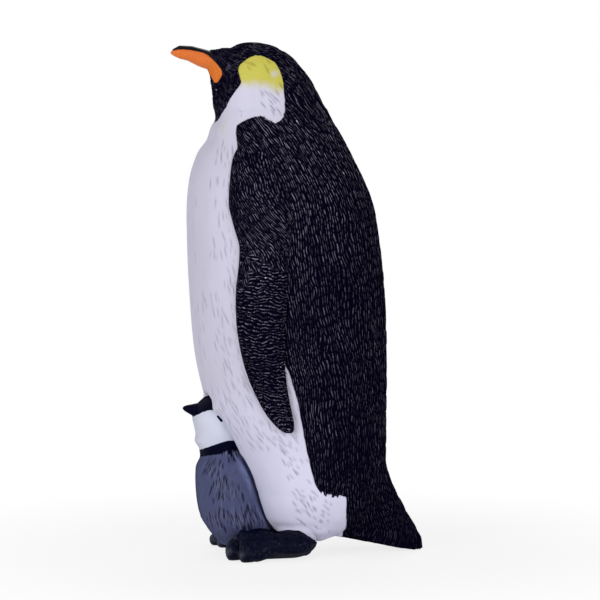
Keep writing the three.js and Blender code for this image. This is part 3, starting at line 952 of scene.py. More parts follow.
class PaintSheet(Sheet):
    """A material that is being painted, in coats and with painted shade in its grooves."""

    rim_fade: Pair = (0.35, 0.85)

    def __init__(self, name: str) -> None:
        """Start a material."""
        self.material = bpy.data.materials.new(name)
        self.material.use_nodes = True
        super().__init__(self.material.node_tree)
        self.shader = self.tree.nodes["Principled BSDF"]

    def feed(self, values: Values) -> Material:
        """Fill the shader's sockets and give back the finished material."""
        self.fill(self.shader, values)
        return self.material

    def effect(self, effect: Effect, *values: object) -> Outputs:
        """Add one of the shared effects, with the values of its inputs in their order."""
        group = bpy.data.node_groups[effect.value]
        return self.add("ShaderNodeGroup", dict(enumerate(values)), node_tree=group).outputs

    def coat(self, under: object, over: object, layer: str, edge: Pair) -> Outputs:
        """Lay a coat over a colour, up to the edge that a layer holds, which wanders and fades."""
        return self.effect(Effect.COAT, under, over, self.layer(layer), *edge)

    def inside(self, layer: str, softness: float) -> Socket:
        """Tell the inside of a coat from its outside, without the coat's ragged edge."""
        return self.ease(self.layer(layer), -softness, softness)

    def wash(self, ridge: object, groove: Colour, full: float) -> Outputs:
        """Paint shade into the grooves: a darker colour, full at a depth in millimetres."""
        return self.effect(Effect.WASH, ridge, groove, self.layer("carve"), full)

    def combed(self, width: float) -> tuple[Socket, Socket]:
        """Draw the painted highlights on the feathers' ridges, with half their width in lanes, and their rare
        painted glints.
        """
        comb = self.effect(Effect.COMB, self.layer("lane"), self.layer("run"), width, Comb.stray)
        return self.times(comb["Ridge"], self.layer("ridge_shine")), comb["Glint"]

    def brushed(self, colour: object, brush: Pair) -> Outputs:
        """Lay a colour on by brush, given how far its tone strays and how fine its grain is."""
        return self.effect(Effect.BRUSH, colour, *brush)

    def matt_rim(self, gloss: object) -> Socket:
        """Let a gloss fade where the skin turns away."""
        facing = self.add("ShaderNodeLayerWeight").outputs["Facing"]
        return self.mix(self.ease(facing, *self.rim_fade), gloss, 0.0)

    def bump(self, height: Socket, relief: Pair) -> Socket:
        """Turn a height into a fine relief, given its strength and its depth in metres."""
        values = {"Height": height, "Strength": relief[0], "Distance": relief[1]}
        return self.add("ShaderNodeBump", values).outputs[0]


# In a finish an edge is how far it wanders and how far it fades, in millimetres, a brush is how far
# the tone strays and how fine the grain is, and a relief is its strength and its depth in metres


@dataclass(frozen=True)
class Plumage:
    """The adult's feathers: black over white, a yellow ear patch, an orange gape, painted highlights and
    glints on the ridges, painted shade in the grooves and painted light toward the hem.

    Attributes:
        groove_full: carved depth, in millimetres, at which the painted shade in the grooves is full
        ridge_width: half of a bright ridge's width, as a share of its lane
        ridge_coat: clear coat on the brightest ridge
        ridge_relief: height of a ridge against the brush's grain
    """

    name: str
    black: Colour = (0.0018, 0.0011, 0.0075, 1.0)
    # painted highlight: the lighter colour of the lit ridges
    ridge_highlight: Colour = (0.24, 0.23, 0.315, 1.0)
    glint: Colour = (0.85, 0.85, 0.9, 1.0)
    white: Colour = (0.61, 0.592, 0.72, 1.0)
    white_groove_shade: Colour = (0.25, 0.238, 0.33, 1.0)
    # painted light: a paler white that lightens the lower belly toward its hem, where it is shaded
    pale: Colour = (0.74, 0.73, 0.92, 1.0)
    yellow: Colour = (0.56, 0.515, 0.085, 1.0)
    yellow_groove_shade: Colour = (0.33, 0.29, 0.04, 1.0)
    orange: Colour = (0.69, 0.185, 0.034, 1.0)
    gleam: Colour = (0.7, 0.68, 1.0, 1.0)
    groove_full: float = 0.16
    ridge_width: float = 0.21
    yellow_edge: Pair = (0.9, 0.9)
    white_edge: Pair = (0.3, 0.05)
    gape_edge: Pair = (0.1, 0.06)
    eye_softness: float = 0.05
    brush: Pair = (0.14, 1500.0)
    black_roughness: float = 0.45
    white_roughness: float = 0.6
    eye_roughness: float = 0.1
    white_gloss: float = 0.25
    eye_gloss: float = 0.35
    ridge_coat: float = 0.45
    ridge_relief: float = 2.0
    relief: Pair = (0.35, 0.00008)

    def make(self) -> Material:
        """Mix the finish.

        Returns:
            The material.
        """
        sheet = PaintSheet(self.name)
        # Painted highlights: a lighter colour on the ridges, and a near-white one on rare glints
        ridge, glint = sheet.combed(self.ridge_width)
        black = sheet.blend(glint, sheet.blend(ridge, self.black, self.ridge_highlight), self.glint)
        # Painted light: the white turns paler toward the hem
        tone = sheet.blend(sheet.layer("pale"), self.white, self.pale)
        # Painted shade: the white and the yellow darken in the carved grooves
        white = sheet.wash(tone, self.white_groove_shade, self.groove_full)["Color"]
        yellow = sheet.wash(self.yellow, self.yellow_groove_shade, self.groove_full)["Color"]
        bib = sheet.coat(white, yellow, "yellow", self.yellow_edge)["Color"]
        plumage = sheet.coat(black, bib, "white", self.white_edge)
        gape = sheet.coat(plumage["Color"], self.orange, "gape", self.gape_edge)["Color"]
        brush = sheet.brushed(gape, self.brush)
        wet = sheet.inside("eye", self.eye_softness)
        roughness = sheet.mix(plumage["Mask"], self.black_roughness, self.white_roughness)
        gloss = sheet.mix(sheet.inside("white", self.white_edge[1]), 0.0, self.white_gloss)
        ridge_highlight = sheet.mix(ridge, 0.0, self.ridge_coat)
        height = sheet.sum("ADD", brush["Height"], sheet.times(ridge, self.ridge_relief))
        return sheet.feed({
            "Base Color": brush["Color"],
            "Roughness": sheet.mix(wet, roughness, self.eye_roughness),
            "Specular IOR Level": sheet.mix(wet, gloss, self.eye_gloss),
            "Specular Tint": self.gleam,
            "Coat Weight": sheet.mix(plumage["Mask"], ridge_highlight, 0.0),
            "Coat Roughness": self.black_roughness,
            "Normal": sheet.bump(height, self.relief),
        })


@dataclass(frozen=True)
class Horn:
    """The bill: orange plates under a black ridge."""

    name: str = "bill_horn"
    orange: Colour = (0.69, 0.16, 0.027, 1.0)
    pale: Colour = (0.6, 0.225, 0.042, 1.0)
    black: Colour = (0.0035, 0.003, 0.007, 1.0)
    root_edge: Pair = (1.2, 1.0)
    ridge_edge: Pair = (0.08, 0.06)
    brush: Pair = (0.22, 1300.0)
    roughness: float = 0.42
    orange_gloss: float = 0.22
    black_gloss: float = 0.07
    relief: Pair = (0.3, 0.00006)

    def make(self) -> Material:
        """Mix the finish.

        Returns:
            The material.
        """
        sheet = PaintSheet(self.name)
        horn = sheet.coat(self.orange, self.pale, "root", self.root_edge)["Color"]
        ridge = sheet.coat(horn, self.black, "ridge", self.ridge_edge)["Color"]
        brush = sheet.brushed(ridge, self.brush)
        dark = sheet.inside("ridge", self.ridge_edge[1])
        return sheet.feed({
            "Base Color": brush["Color"],
            "Roughness": self.roughness,
            "Specular IOR Level": sheet.mix(dark, self.orange_gloss, self.black_gloss),
            "Normal": sheet.bump(brush["Height"], self.relief),
        })


@dataclass(frozen=True)
class FootSkin:
    """The feet: black pebbled skin and glossy claws, with painted shade in the creases and painted highlights
    on the raised skin and the toes.

    Attributes:
        crease_full: carved depth, in millimetres, at which the painted shade in the creases is full
        speck_noise: scale and detail of the painted highlight specks
        highlight_specks: the noise where a speck starts, and where it is full
        speck_share: how strong a full speck's painted highlight is
        claw_shine: millimetres inside a claw where its shine starts, and where it is full
    """

    name: str
    skin: Colour = (0.0011, 0.0015, 0.012, 1.0)
    crease_shade: Colour = (0.0008, 0.001, 0.0045, 1.0)
    highlight_paint: Colour = (0.045, 0.047, 0.07, 1.0)
    crease_full: float = 0.14
    speck_noise: Pair = (1500.0, 3.0)
    highlight_specks: Pair = (0.54, 0.7)
    speck_share: float = 0.35
    claw_shine: Pair = (-0.6, 0.5)
    brush: Pair = (0.3, 2200.0)
    skin_roughness: float = 0.42
    claw_roughness: float = 0.3
    skin_gloss: float = 0.05
    crease_gloss: float = 0.01
    relief: Pair = (0.4, 0.00008)

    def make(self) -> Material:
        """Mix the finish.

        Returns:
            The material.
        """
        sheet = PaintSheet(self.name)
        # Painted shade in the creases, and painted highlights: lighter specks on the raised skin and lighter
        # spots on the toes
        skin = sheet.wash(self.skin, self.crease_shade, self.crease_full)
        highlight_specks = sheet.ease(sheet.noise(*self.speck_noise, EVEN), *self.highlight_specks)
        bare = sheet.sum("SUBTRACT", 1.0, skin["Mask"])
        grain = sheet.times(sheet.times(highlight_specks, bare), self.speck_share)
        highlight_paint = sheet.sum("ADD", grain, sheet.layer("highlight_paint"), clamp=True)
        brush = sheet.brushed(sheet.blend(highlight_paint, skin["Color"], self.highlight_paint), self.brush)
        claw = sheet.ease(sheet.layer("claw"), *self.claw_shine)
        creased = sheet.sum("DIVIDE", sheet.layer("carve"), -self.crease_full, clamp=True)
        gloss = sheet.mix(creased, self.skin_gloss, self.crease_gloss)
        return sheet.feed({
            "Base Color": brush["Color"],
            "Roughness": sheet.mix(claw, self.skin_roughness, self.claw_roughness),
            "Specular IOR Level": sheet.matt_rim(gloss),
            "Normal": sheet.bump(brush["Height"], self.relief),
        })


@dataclass(frozen=True)
class Down:
    """The chick: grey down, a white face, a black cap and collar, painted shade in the grooves, painted
    highlights on the raised locks and a painted light band along its edge against the belly.
    """

    name: str
    grey: Colour = (0.061, 0.071, 0.154, 1.0)
    # painted shade in the carved grooves
    grey_groove_shade: Colour = (0.0075, 0.0075, 0.03, 1.0)
    # painted highlight on the raised locks of down
    lock: Colour = (0.13, 0.14, 0.24, 1.0)
    # painted light: a lighter grey that lifts the shaded band along the edge against the belly
    flank: Colour = (0.145, 0.165, 0.315, 1.0)
    white: Colour = (0.605, 0.62, 0.74, 1.0)
    black: Colour = (0.0009, 0.0011, 0.0105, 1.0)
    groove_full: float = 0.15
    face_edge: Pair = (0.1, 0.05)
    black_edge: Pair = (0.45, 0.05)
    brush: Pair = (0.16, 1700.0)
    down_roughness: float = 0.6
    black_roughness: float = 0.42
    down_gloss: float = 0.15
    black_gloss: float = 0.025
    relief: Pair = (0.35, 0.00007)

    def make(self) -> Material:
        """Mix the finish.

        Returns:
            The material.
        """
        sheet = PaintSheet(self.name)
        tone = sheet.blend(sheet.layer("flank"), self.grey, self.flank)
        grey = sheet.wash(tone, self.grey_groove_shade, self.groove_full)["Color"]
        down = sheet.blend(sheet.layer("lock"), grey, self.lock)
        face = sheet.coat(down, self.white, "face", self.face_edge)["Color"]
        dark = sheet.coat(face, self.black, "black", self.black_edge)
        brush = sheet.brushed(dark["Color"], self.brush)
        inside = sheet.inside("black", self.black_edge[1])
        gloss = sheet.mix(inside, self.down_gloss, self.black_gloss)
        return sheet.feed({
            "Base Color": brush["Color"],
            "Roughness": sheet.mix(dark["Mask"], self.down_roughness, self.black_roughness),
            "Specular IOR Level": sheet.matt_rim(gloss),
            "Normal": sheet.bump(brush["Height"], self.relief),
        })


# The adult


@dataclass
class RadialForm:
    """A form of rows and upright columns, sampled from its solids by rays towards an axis.

    Rows lie at stations in millimetres: up to the dome's centre a station is a height, whose rays
    are level, and beyond it the rays rise about that centre until they point straight up.

    Attributes:
        guests: solids that sit in rooms of it, and how far a room's film is sunk
        axis: heights, and how far back the axis lies there
        joint: height where the spacing of the rows changes
        row_steps: spacing of the rows below and above the joint
        dome_radius: length of a radian of the dome
        room_gap: how near a room's walls lie to its guest
        room_edge: shares of a blurred room where its film starts to sink, and where it is fully sunk
        notch: rows and columns of the joints and sockets that are filled
        film: reach of the first guess at a hole's film, and how often the film is relaxed
        near_cells: surroundings that give a cell its node, in rows and columns
        far_cells: wider surroundings, for a cell with no node near it
    """

    nodes: tuple[str, ...]
    guests: tuple[tuple[str, float], ...]
    axis: tuple[Pair, ...]
    columns: int
    low: float
    joint: float
    row_steps: Pair
    dome_centre: float
    dome_radius: float
    room_gap: float = 0.4
    room_edge: Pair = (0.2, 0.9)
    room_blur: Pair = (2.0, 3.0)
    probe_step: float = 0.05
    probe_columns: int = 16
    probe_notch: int = 12
    notch: Cells = (6, 10)
    notch_depth: float = 0.25
    hole_margin: Cells = (2, 3)
    film: tuple[float, int] = (24.0, 400)
    near_cells: Pair = (3.0, 4.0)
    far_cells: Pair = (30.0, 40.0)
    far_weight: float = 0.01

    def __post_init__(self) -> None:
        """Gather the solids and set out the columns."""
        self.tree = SolidTree(*self.nodes)
        self.angles = np.arange(self.columns) * 2.0 * math.pi / self.columns - math.pi / 2.0
        self.from_rear = np.abs(self.angles - math.pi / 2.0)[None, :]

    def centres(self, stations: Array) -> Array:
        """Give the point of the axis that each station's rays are aimed at."""
        height = np.minimum(stations, self.dome_centre)
        back = read_off(self.axis, height)
        return np.stack((np.zeros_like(back), back, height), axis=-1)

    def ways(self, stations: Array, angles: Array) -> Array:
        """Give the way out along each ray."""
        lift = np.clip((stations - self.dome_centre) / self.dome_radius, 0.0, math.pi / 2.0)
        level = np.cos(lift)
        return np.stack((np.cos(angles) * level, np.sin(angles) * level, np.sin(lift)), axis=-1)

    def radii(self, tree: SolidTree, stations: Array, angles: Array) -> tuple[Array, Array]:
        """Measure how far the solids reach from the axis.

        Args:
            tree: the solids
            stations: station of each ray, in rows and columns
            angles: angle of each column

        Returns:
            The reach, and the node that is met there.
        """
        ways = self.ways(stations, angles)
        lengths, owners = tree.cast(self.centres(stations) + CLEAR_OF_FIGURE * ways, -ways)
        return CLEAR_OF_FIGURE - lengths, owners

    def places(self, stations: Array, reach: Array, angles: Array) -> Array:
        """Turn reaches from the axis into points."""
        return self.centres(stations) + reach[..., None] * self.ways(stations, angles)

    def levels(self) -> Array:
        """Space the stations evenly up the form's sides."""
        top = self.dome_centre + self.dome_radius * math.pi / 2.0
        probe = np.append(np.arange(self.low, top, self.probe_step), top)
        angles = self.angles[::self.columns // self.probe_columns]
        stations = np.repeat(probe[:, None], len(angles), axis=1)
        reach = bridged(np.nan_to_num(self.radii(self.tree, stations, angles)[0]), self.probe_notch, 0)
        climb = np.linalg.norm(np.diff(self.places(stations, reach, angles), axis=0), axis=-1)
        step = np.where(probe[1:] < self.joint, *self.row_steps)
        count = np.concatenate(([0.0], np.cumsum(np.median(climb, axis=1) / step)))
        levels = np.interp(np.linspace(0.0, count[-1], int(count[-1]) + 1), count, probe)
        levels[np.argmin(np.abs(levels - self.joint))] = self.joint
        return levels

    def sample(self, stations: Array) -> tuple[Array, Array, Array]:
        """Sample the form.

        Args:
            stations: station of each point, in rows and columns

        Returns:
            The reach from the axis, with joints, sockets and rooms filled, how far the film over the
            rooms is sunk, and the node of each point.
        """
        found, owners = self.radii(self.tree, stations, self.angles)
        holes = np.isnan(found)
        found = np.where(holes, 0.0, found)
        holes |= bridged(found, *self.notch) - found > self.notch_depth
        places = self.places(stations, found, self.angles)
        holes = widest(holes.astype(float), *self.hole_margin) > 0.5
        sunk = np.zeros(found.shape)
        for guest, depth in self.guests:
            room = widest(SolidTree(guest).close_to(places, self.room_gap).astype(float), 1, 1)
            sunk = np.maximum(sunk, depth * ease(*self.room_edge, blurred(room, *self.room_blur)))
            holes |= room > 0.5
        return filled(found, holes, *self.film), sunk, np.where(holes, -1, owners)

    def owner_map(self, owners: Array) -> Array:
        """Give every cell to the node that holds most of its surroundings.

        Args:
            owners: node of each point, or -1

        Returns:
            The node of each cell.
        """
        held = [(owners == node).astype(float) for node in range(len(self.nodes))]
        near = np.array([blurred(cells, *self.near_cells) for cells in held])
        far = np.array([blurred(cells, *self.far_cells) for cells in held])
        return np.argmax(near + self.far_weight * far, axis=0)


@dataclass(frozen=True)
class AdultPaint:
    """Paint of the adult, in pixels of the photograph, where a spot is a place and a radius.

    Attributes:
        yellow_fade: height where the yellow fades out, and how softly
        yellow_drop: where the fade starts to drop, where it is lowest, and by how much
        front: where the belly's strokes start, and where they are dense
        rear: where the back starts to shine less, and where it shines least
        relief: spots that are raised or sunk, with their heights in millimetres
    """

    white: Outline = Outline((
        (209.5, 125.0), (216.7, 118.1), (224.8, 110.0), (230.2, 98.0), (236.7, 89.4), (241.6, 82.9),
        (240.0, 77.5), (238.0, 69.9), (240.0, 64.5), (247.6, 57.9), (258.4, 54.2), (272.5, 60.1),
        (279.0, 67.7), (282.8, 78.5), (283.9, 90.5), (285.0, 102.4), (285.0, 115.4), (280.0, 120.8),
        (274.7, 123.5), (269.3, 121.9), (263.8, 117.6), (258.4, 115.4), (243.2, 120.8), (234.6, 127.0),
        (238.2, 148.4), (236.0, 165.0), (245.0, 200.0), (255.0, 260.0), (265.0, 320.0), (276.0, 350.0),
        (286.6, 366.6), (292.0, 381.3), (297.3, 400.0), (301.3, 420.2), (304.9, 441.7), (307.8, 454.3),
        (311.2, 470.4), (314.6, 484.1), (321.5, 492.2), (330.0, 496.8), (345.5, 496.4), (346.4, 501.2),
        (346.0, 513.3), (346.7, 527.9), (341.8, 533.0), (335.0, 600.0), (100.0, 600.0), (100.0, 125.0),
    ))
    shade: Outline = Outline((
        (240.0, 480.0), (255.0, 488.0), (258.6, 496.0), (260.4, 505.0), (262.6, 512.0), (266.0, 518.4),
        (271.0, 525.0), (275.6, 530.4), (280.0, 534.0), (276.0, 548.0), (240.0, 548.0),
    ))
    gape: Outline = Outline((
        (190.0, 40.0), (206.0, 52.5), (215.0, 62.0), (222.0, 71.0), (221.5, 76.0), (215.4, 84.5),
        (211.2, 77.5), (207.5, 71.0), (202.0, 67.5), (150.0, 64.0), (150.0, 40.0),
    ))
    yellow_fade: Pair = (84.0, 8.0)
    yellow_drop: Triple = (262.0, 280.0, 6.0)
    # a painted highlight: a pale spot where the yellow is taken away, and how strongly
    yellow_highlight_spot: Triple = (275.0, 73.5, 4.6)
    yellow_highlight_strength: float = 1.2
    tinted_spot: Triple = (226.0, 126.0, 9.0)
    tint: float = 0.5
    # spot of the face where the painted highlights on the ridges are fainter
    faint_shine_spot: Triple = (225.0, 86.0, 19.0)
    front: Pair = (205.0, 235.0)
    rear: Pair = (288.0, 320.0)
    combed: tuple[Triple, ...] = (
        (273.5, 102.0, 9.0), (246.5, 61.5, 6.0), (277.5, 86.0, 6.0), (266.0, 66.0, 4.0), (290.0, 466.0, 11.0),
        (300.5, 498.0, 8.0), (315.0, 509.0, 15.0), (268.0, 440.0, 9.0), (284.0, 444.0, 8.0),
    )
    long_marks: Pair = (465.0, 425.0)
    relief: tuple[tuple[float, float, float, float], ...] = (
        (210.5, 50.5, 3.2, 0.5), (214.5, 50.0, 3.5, 0.25), (229.0, 46.5, 5.0, -0.25),
        (212.5, 95.5, 5.5, 0.35), (213.5, 106.0, 6.0, 0.35), (215.0, 119.0, 6.5, -0.5),
        (206.5, 139.0, 9.0, -0.4), (217.0, 408.5, 7.0, 0.7), (319.0, 538.0, 9.0, 0.6),
    )
    frayed: tuple[Triple, ...] = ((272.0, 119.0, 14.0), (331.0, 494.0, 18.0))
    fray: float = 0.7
    fray_draw: float = 5.0
    eye: Pair = (228.4, 68.5)


@dataclass
class Adult:
    """The adult's body and head, carved as one skin and parted again into their shells."""

    paint: AdultPaint = AdultPaint()
    slots: tuple[Slot, ...] = (Slot.WHITE_FEATHERS, Slot.BLACK_FEATHERS, Slot.BLACK_FEATHERS)

    # The form: a pair of heights or angles says where something starts and where it is full
    under_tail: float = 0.04
    tail_step: float = 0.08
    tail_blur: float = 4.0
    tail_blend: float = 12.0
    tail_least: float = 7.0
    tail_heights: Pair = (26.0, 18.0)
    tail_angles: Pair = (1.0, 0.75)
    hem_heights: Pair = (9.0, 6.0)
    broad_blur: Pair = (4.4, 7.0)
    fine_blur: Pair = (1.6, 3.0)
    cap_rings: int = 12
    cap_height: float = 3.6

    # Where the flippers and the bill grow out of the form
    shoulder_height: float = 1.4
    shoulder_cells: Cells = (4, 12)
    shoulder_blur: Pair = (4.0, 11.0)
    shoulder_edge: Pair = (-0.2, -1.4)
    shoulder_heights: Pair = (42.0, 56.0)
    root_height: float = 1.0
    root_blur: Pair = (2.0, 4.0)

    # The black feathers: slants and the strength of the painted highlights on the ridges are given by height
    comb: Comb = Comb()
    tallest: float = 100.0
    slants: tuple[Pair, ...] = ((0.0, 0.15), (40.0, 0.12), (55.0, -0.05), (70.0, -0.2), (82.0, -0.25))
    flank: Pair = (0.0, 30.0)
    crown_radius: float = 8.0
    crown: Pair = (80.0, 90.0)
    head_lean: float = 40.0
    black_edge: float = 0.15
    feather_edge: float = 0.1
    feather_rim: Pair = (0.2, -0.25)
    painted_highlights: tuple[Pair, ...] = (
        (4.0, 0.30), (12.0, 0.38), (26.0, 0.45), (45.0, 0.54), (60.0, 0.92), (76.0, 1.15), (81.0, 0.90),
        (86.0, 0.78), (92.0, 0.70),
    )
    sheen_cells: Pair = (10.0, 14.0)
    # how much fainter the painted highlights are on the face and on the upper back
    face_shine_dimming: float = 0.65
    rear_shine_dimming: float = 0.32
    rear_low: Pair = (42.0, 50.0)
    rear_high: Pair = (78.0, 70.0)

    # The white feathers: tilts are given by height
    tilts: tuple[Pair, ...] = (
        (3.0, 34.0), (20.0, 34.0), (40.0, 22.0), (55.0, 12.0), (70.0, 8.0), (80.0, 20.0), (86.0, 30.0),
        (90.0, 45.0), (94.0, 60.0),
    )
    side_power: float = 0.6
    # heights over which painted light lightens the belly toward its hem, where it starts and where it is full
    lit_hem_heights: Pair = (36.0, 6.0)
    mark_share: float = 0.6
    mark_stray: float = 0.35
    mark_cells: Pair = (14.0, 18.0)
    mark_heights: Pair = (78.0, 74.0)
    front_share: float = 0.15
    combed_heights: Pair = (4.6, 5.6)
    belly_stroke: Stroke = Stroke(
        rise=1.4, round=1.0, length=2.9, half_width=0.21, depth=0.15, least=0.3, jitter=1.0
    )
    short_stroke: Stroke = Stroke(
        rise=1.2, round=0.85, length=2.0, half_width=0.26, depth=0.15, least=0.5, jitter=1.0
    )

    # The eyes: the bare ring and the sunk rim are shares of the radius, and the rim's depth of the height
    eye_radius: float = 0.62
    eye_height: float = 0.26
    eye_aside: float = 1.0
    bare_ring: float = 2.0
    rim_radius: float = 1.25
    rim_width: float = 0.3
    rim_depth: float = 0.35

    def __post_init__(self) -> None:
        """Set out the form."""
        self.form = RadialForm(
            nodes=("belly_shell", "back_shell", "head"),
            guests=(
                ("chick_body", 0.9), ("chick_head", 1.2), ("left_foot", 0.3), ("right_foot", 0.3),
                ("bill", 0.0),
            ),
            axis=((0.0, 2.5), (12.0, 2.5), (30.0, -0.5), (60.0, -2.9), (82.0, -5.4), (86.0, -7.0)),
            columns=600,
            low=3.24,
            joint=82.15,
            row_steps=(0.31, 0.2),
            dome_centre=86.0,
            dome_radius=9.0,
        )

    def stations(self) -> Array:
        """Give the station of each point, with the lowest rows drawn down along the tail."""
        form = self.form
        levels = form.levels()
        probe = np.arange(self.under_tail, form.low, self.tail_step)
        reach, _ = form.radii(form.tree, np.repeat(probe[:, None], form.columns, axis=1), form.angles)
        under = np.nan_to_num(reach) < self.tail_least
        lowest = np.where(under.all(axis=0), form.low, probe[np.argmin(under, axis=0)])
        smooth = np.maximum(lowest, blurred(np.stack((lowest, lowest)), TINY, self.tail_blur)[0])
        share = np.clip((levels - form.low) / (self.tail_blend - form.low), 0.0, 1.0)[:, None]
        drawn = smooth + share * (self.tail_blend - smooth)
        return np.where(levels[:, None] < self.tail_blend, drawn, levels[:, None])

    def shape(self) -> tuple[Array, Array]:
        """Sample the body, smooth it, and lift it to the flippers and the bill.

        Returns:
            The points, and the node that each belongs to.
        """
        form = self.form
        stations = self.stations()
        reach, sunk, owners = form.sample(stations)
        tail = ease(*self.tail_heights, stations) * ease(*self.tail_angles, form.from_rear)
        hem = ease(*self.hem_heights, stations)
        broad = smoothed(reach, *self.broad_blur)
        fine = smoothed(reach, *self.fine_blur)
        reach = broad + (fine - broad) * np.maximum(tail, hem)
        reach = reach + self.shoulder(stations, reach) + self.bill_root(stations, reach) - sunk
        return form.places(stations, reach, form.angles), form.owner_map(owners)

    def proud(self, node: str, stations: Array, reach: Array, most: float) -> Array:
        """Measure how far a neighbour stands out of the body, up to a greatest height."""
        outside, _ = self.form.radii(SolidTree(node), stations, self.form.angles)
        return np.clip(np.nan_to_num(outside - reach), 0.0, most)

    def shoulder(self, stations: Array, reach: Array) -> Array:
        """Work out how far the back swells to meet the rear edge of each flipper.

        Args:
            stations: station of each point
            reach: reach of the body from its axis

        Returns:
            What is added to the reach.
        """
        form = self.form
        blades = self.proud("left_flipper", stations, reach, self.shoulder_height)
        blades += self.proud("right_flipper", stations, reach, self.shoulder_height)
        swell = blurred(widest(blades, *self.shoulder_cells), *self.shoulder_blur)
        pixels = PHOTO.pixels(form.places(stations, reach, form.angles))
        black = ease(*self.shoulder_edge, self.paint.white.depth(pixels))
        return swell * black * ease(*self.shoulder_heights, stations)

    def bill_root(self, stations: Array, reach: Array) -> Array:
        """Work out how far the face swells round the bill."""
        return blurred(self.proud("bill", stations, reach, self.root_height), *self.root_blur)

    def layers(self, points: Array) -> Layers:
        """Work out what the paint reads at each point.

        Args:
            points: the points before they are carved

        Returns:
            Millimetres inside each coat, by attribute name.
        """
        paint = self.paint
        pixels = PHOTO.pixels(points)
        middle, spread = paint.yellow_fade
        start, end, drop = paint.yellow_drop
        fade = middle + drop * ease(start, end, pixels[..., 0])
        yellow = np.clip((fade - pixels[..., 1]) / spread, -1.0, 1.0)
        yellow = np.maximum(yellow, paint.tint * spot(pixels, paint.tinted_spot) - 1.0)
        return {
            "white": np.minimum(paint.white.depth(pixels), -paint.shade.depth(pixels)),
            # painted light: paler white toward the hem
            "pale": ease(*self.lit_hem_heights, points[..., 2]),
            "gape": paint.gape.depth(pixels),
            # painted highlight: a pale spot in the yellow patch
            "yellow": yellow - paint.yellow_highlight_strength * spot(pixels, paint.yellow_highlight_spot),
        }

    def lanes(self, skin: Skin) -> tuple[Array, Array]:
        """Lay out the lanes of the feathers, which run back over the head and down the body.

        Args:
            skin: the skin

        Returns:
            The number of each point's lane and of its dash, with their parts.
        """
        across, back, height = np.moveaxis(skin.points, -1, 0)
        path = np.cumsum(skin.round_step, axis=1) - skin.round_step
        from_rear = np.abs(path - path[:, self.form.columns // 2][:, None])
        probe = np.arange(0.0, self.tallest)
        slant = np.cumsum(read_off(self.slants, probe))
        body = np.interp(height, probe, slant) * ease(*self.flank, from_rear) - from_rear
        centre = self.form.centres(np.array(self.form.dome_centre))
        lean = math.radians(self.head_lean)
        raised = (back - centre[1]) * math.sin(lean) + (height - centre[2]) * math.cos(lean)
        behind = (back - centre[1]) * math.cos(lean) - (height - centre[2]) * math.sin(lean)
        crown = -np.abs(np.arctan2(across, raised)) * self.crown_radius
        head = ease(*self.crown, height)
        aside = body + head * (crown - body)
        along = -height + head * (behind - centre[2] + height)
        return self.comb.lay(aside, along, seed=11)

    def ridge_shine(self, points: Array) -> Array:
        """Work out how strong the painted highlights on the feathers' ridges are, fainter on the face and on
        the upper back.

        Args:
            points: the points before they are carved

        Returns:
            The strength of the painted highlight at each point.
        """
        height = points[..., 2]
        pixels = PHOTO.pixels(points)
        patches = uneven(height.shape, self.sheen_cells, seed=15)
        patches *= 1.0 - self.face_shine_dimming * spot(pixels, self.paint.faint_shine_spot)
        high = ease(*self.rear_low, height) * ease(*self.rear_high, height)
        patches *= 1.0 - self.rear_shine_dimming * high * ease(*self.paint.rear, pixels[..., 0])
        return read_off(self.painted_highlights, height) * patches

    def flow(self, points: Array) -> Array:
        """Give the tilt of the belly's strokes, in degrees from straight down towards the next column."""
        sideways = np.cos(self.form.angles)[None, :]
        return read_off(self.tilts, points[..., 2]) * np.sign(sideways) * np.abs(sideways) ** self.side_power

    def eye_distance(self, points: Array) -> Array:
        """Measure how far each point lies from the nearer eye."""
        head = points[..., 2] > self.form.joint
        apart = np.linalg.norm(PHOTO.pixels(points) - np.array(self.paint.eye), axis=-1)
        visible = head & (points[..., 0] > self.eye_aside)
        place = points[np.unravel_index(np.argmin(np.where(visible, apart, np.inf)), apart.shape)]
        near = points.copy()
        near[..., 0] = np.abs(near[..., 0])
        return np.linalg.norm(near - place, axis=-1)

    def carve(self, skin: Skin, layers: Layers) -> None:
        """Carve the feathers and the eyes.

        Args:
            skin: the skin
            layers: the paint at each point, to which the lanes, the sheen and the eyes are added
        """
        paint = self.paint
        flow = self.flow(skin.points)
        height = skin.points[..., 2]
        pixels = PHOTO.pixels(skin.points)
        lane, run = self.lanes(skin)
        fray = paint.fray * (chance(np.floor(lane), paint.fray_draw) - 0.5)
        layers["white"] += spots(pixels, paint.frayed) * fray
        layers.update({"lane": lane, "run": run, "ridge_shine": self.ridge_shine(skin.points)})
        black = ease(self.black_edge, -self.black_edge, layers["white"])
        self.comb.carve(skin, black, lane, run)
        patches = np.clip(cloud(height.shape, *self.mark_cells, seed=13), -1.0, 1.0)
        front = self.front_share + (1.0 - self.front_share) * ease(*paint.front, pixels[..., 0])
        marks = (self.mark_share + self.mark_stray * patches) * front
        marks *= ease(*paint.long_marks, pixels[..., 1]) * ease(*self.mark_heights, height)
        skin.scratch(self.belly_stroke, (1.0 - black) * marks, flow, seed=14)
        combed = spots(pixels, paint.combed) * ease(*self.combed_heights, height)
        skin.scratch(self.short_stroke, (1.0 - black) * combed, flow, seed=16)
        skin.raised += sum(tall * spot(pixels, place) for *place, tall in paint.relief)
        skin.raised += self.feather_edge * ease(*self.feather_rim, layers["white"])
        self.carve_eyes(skin, layers)

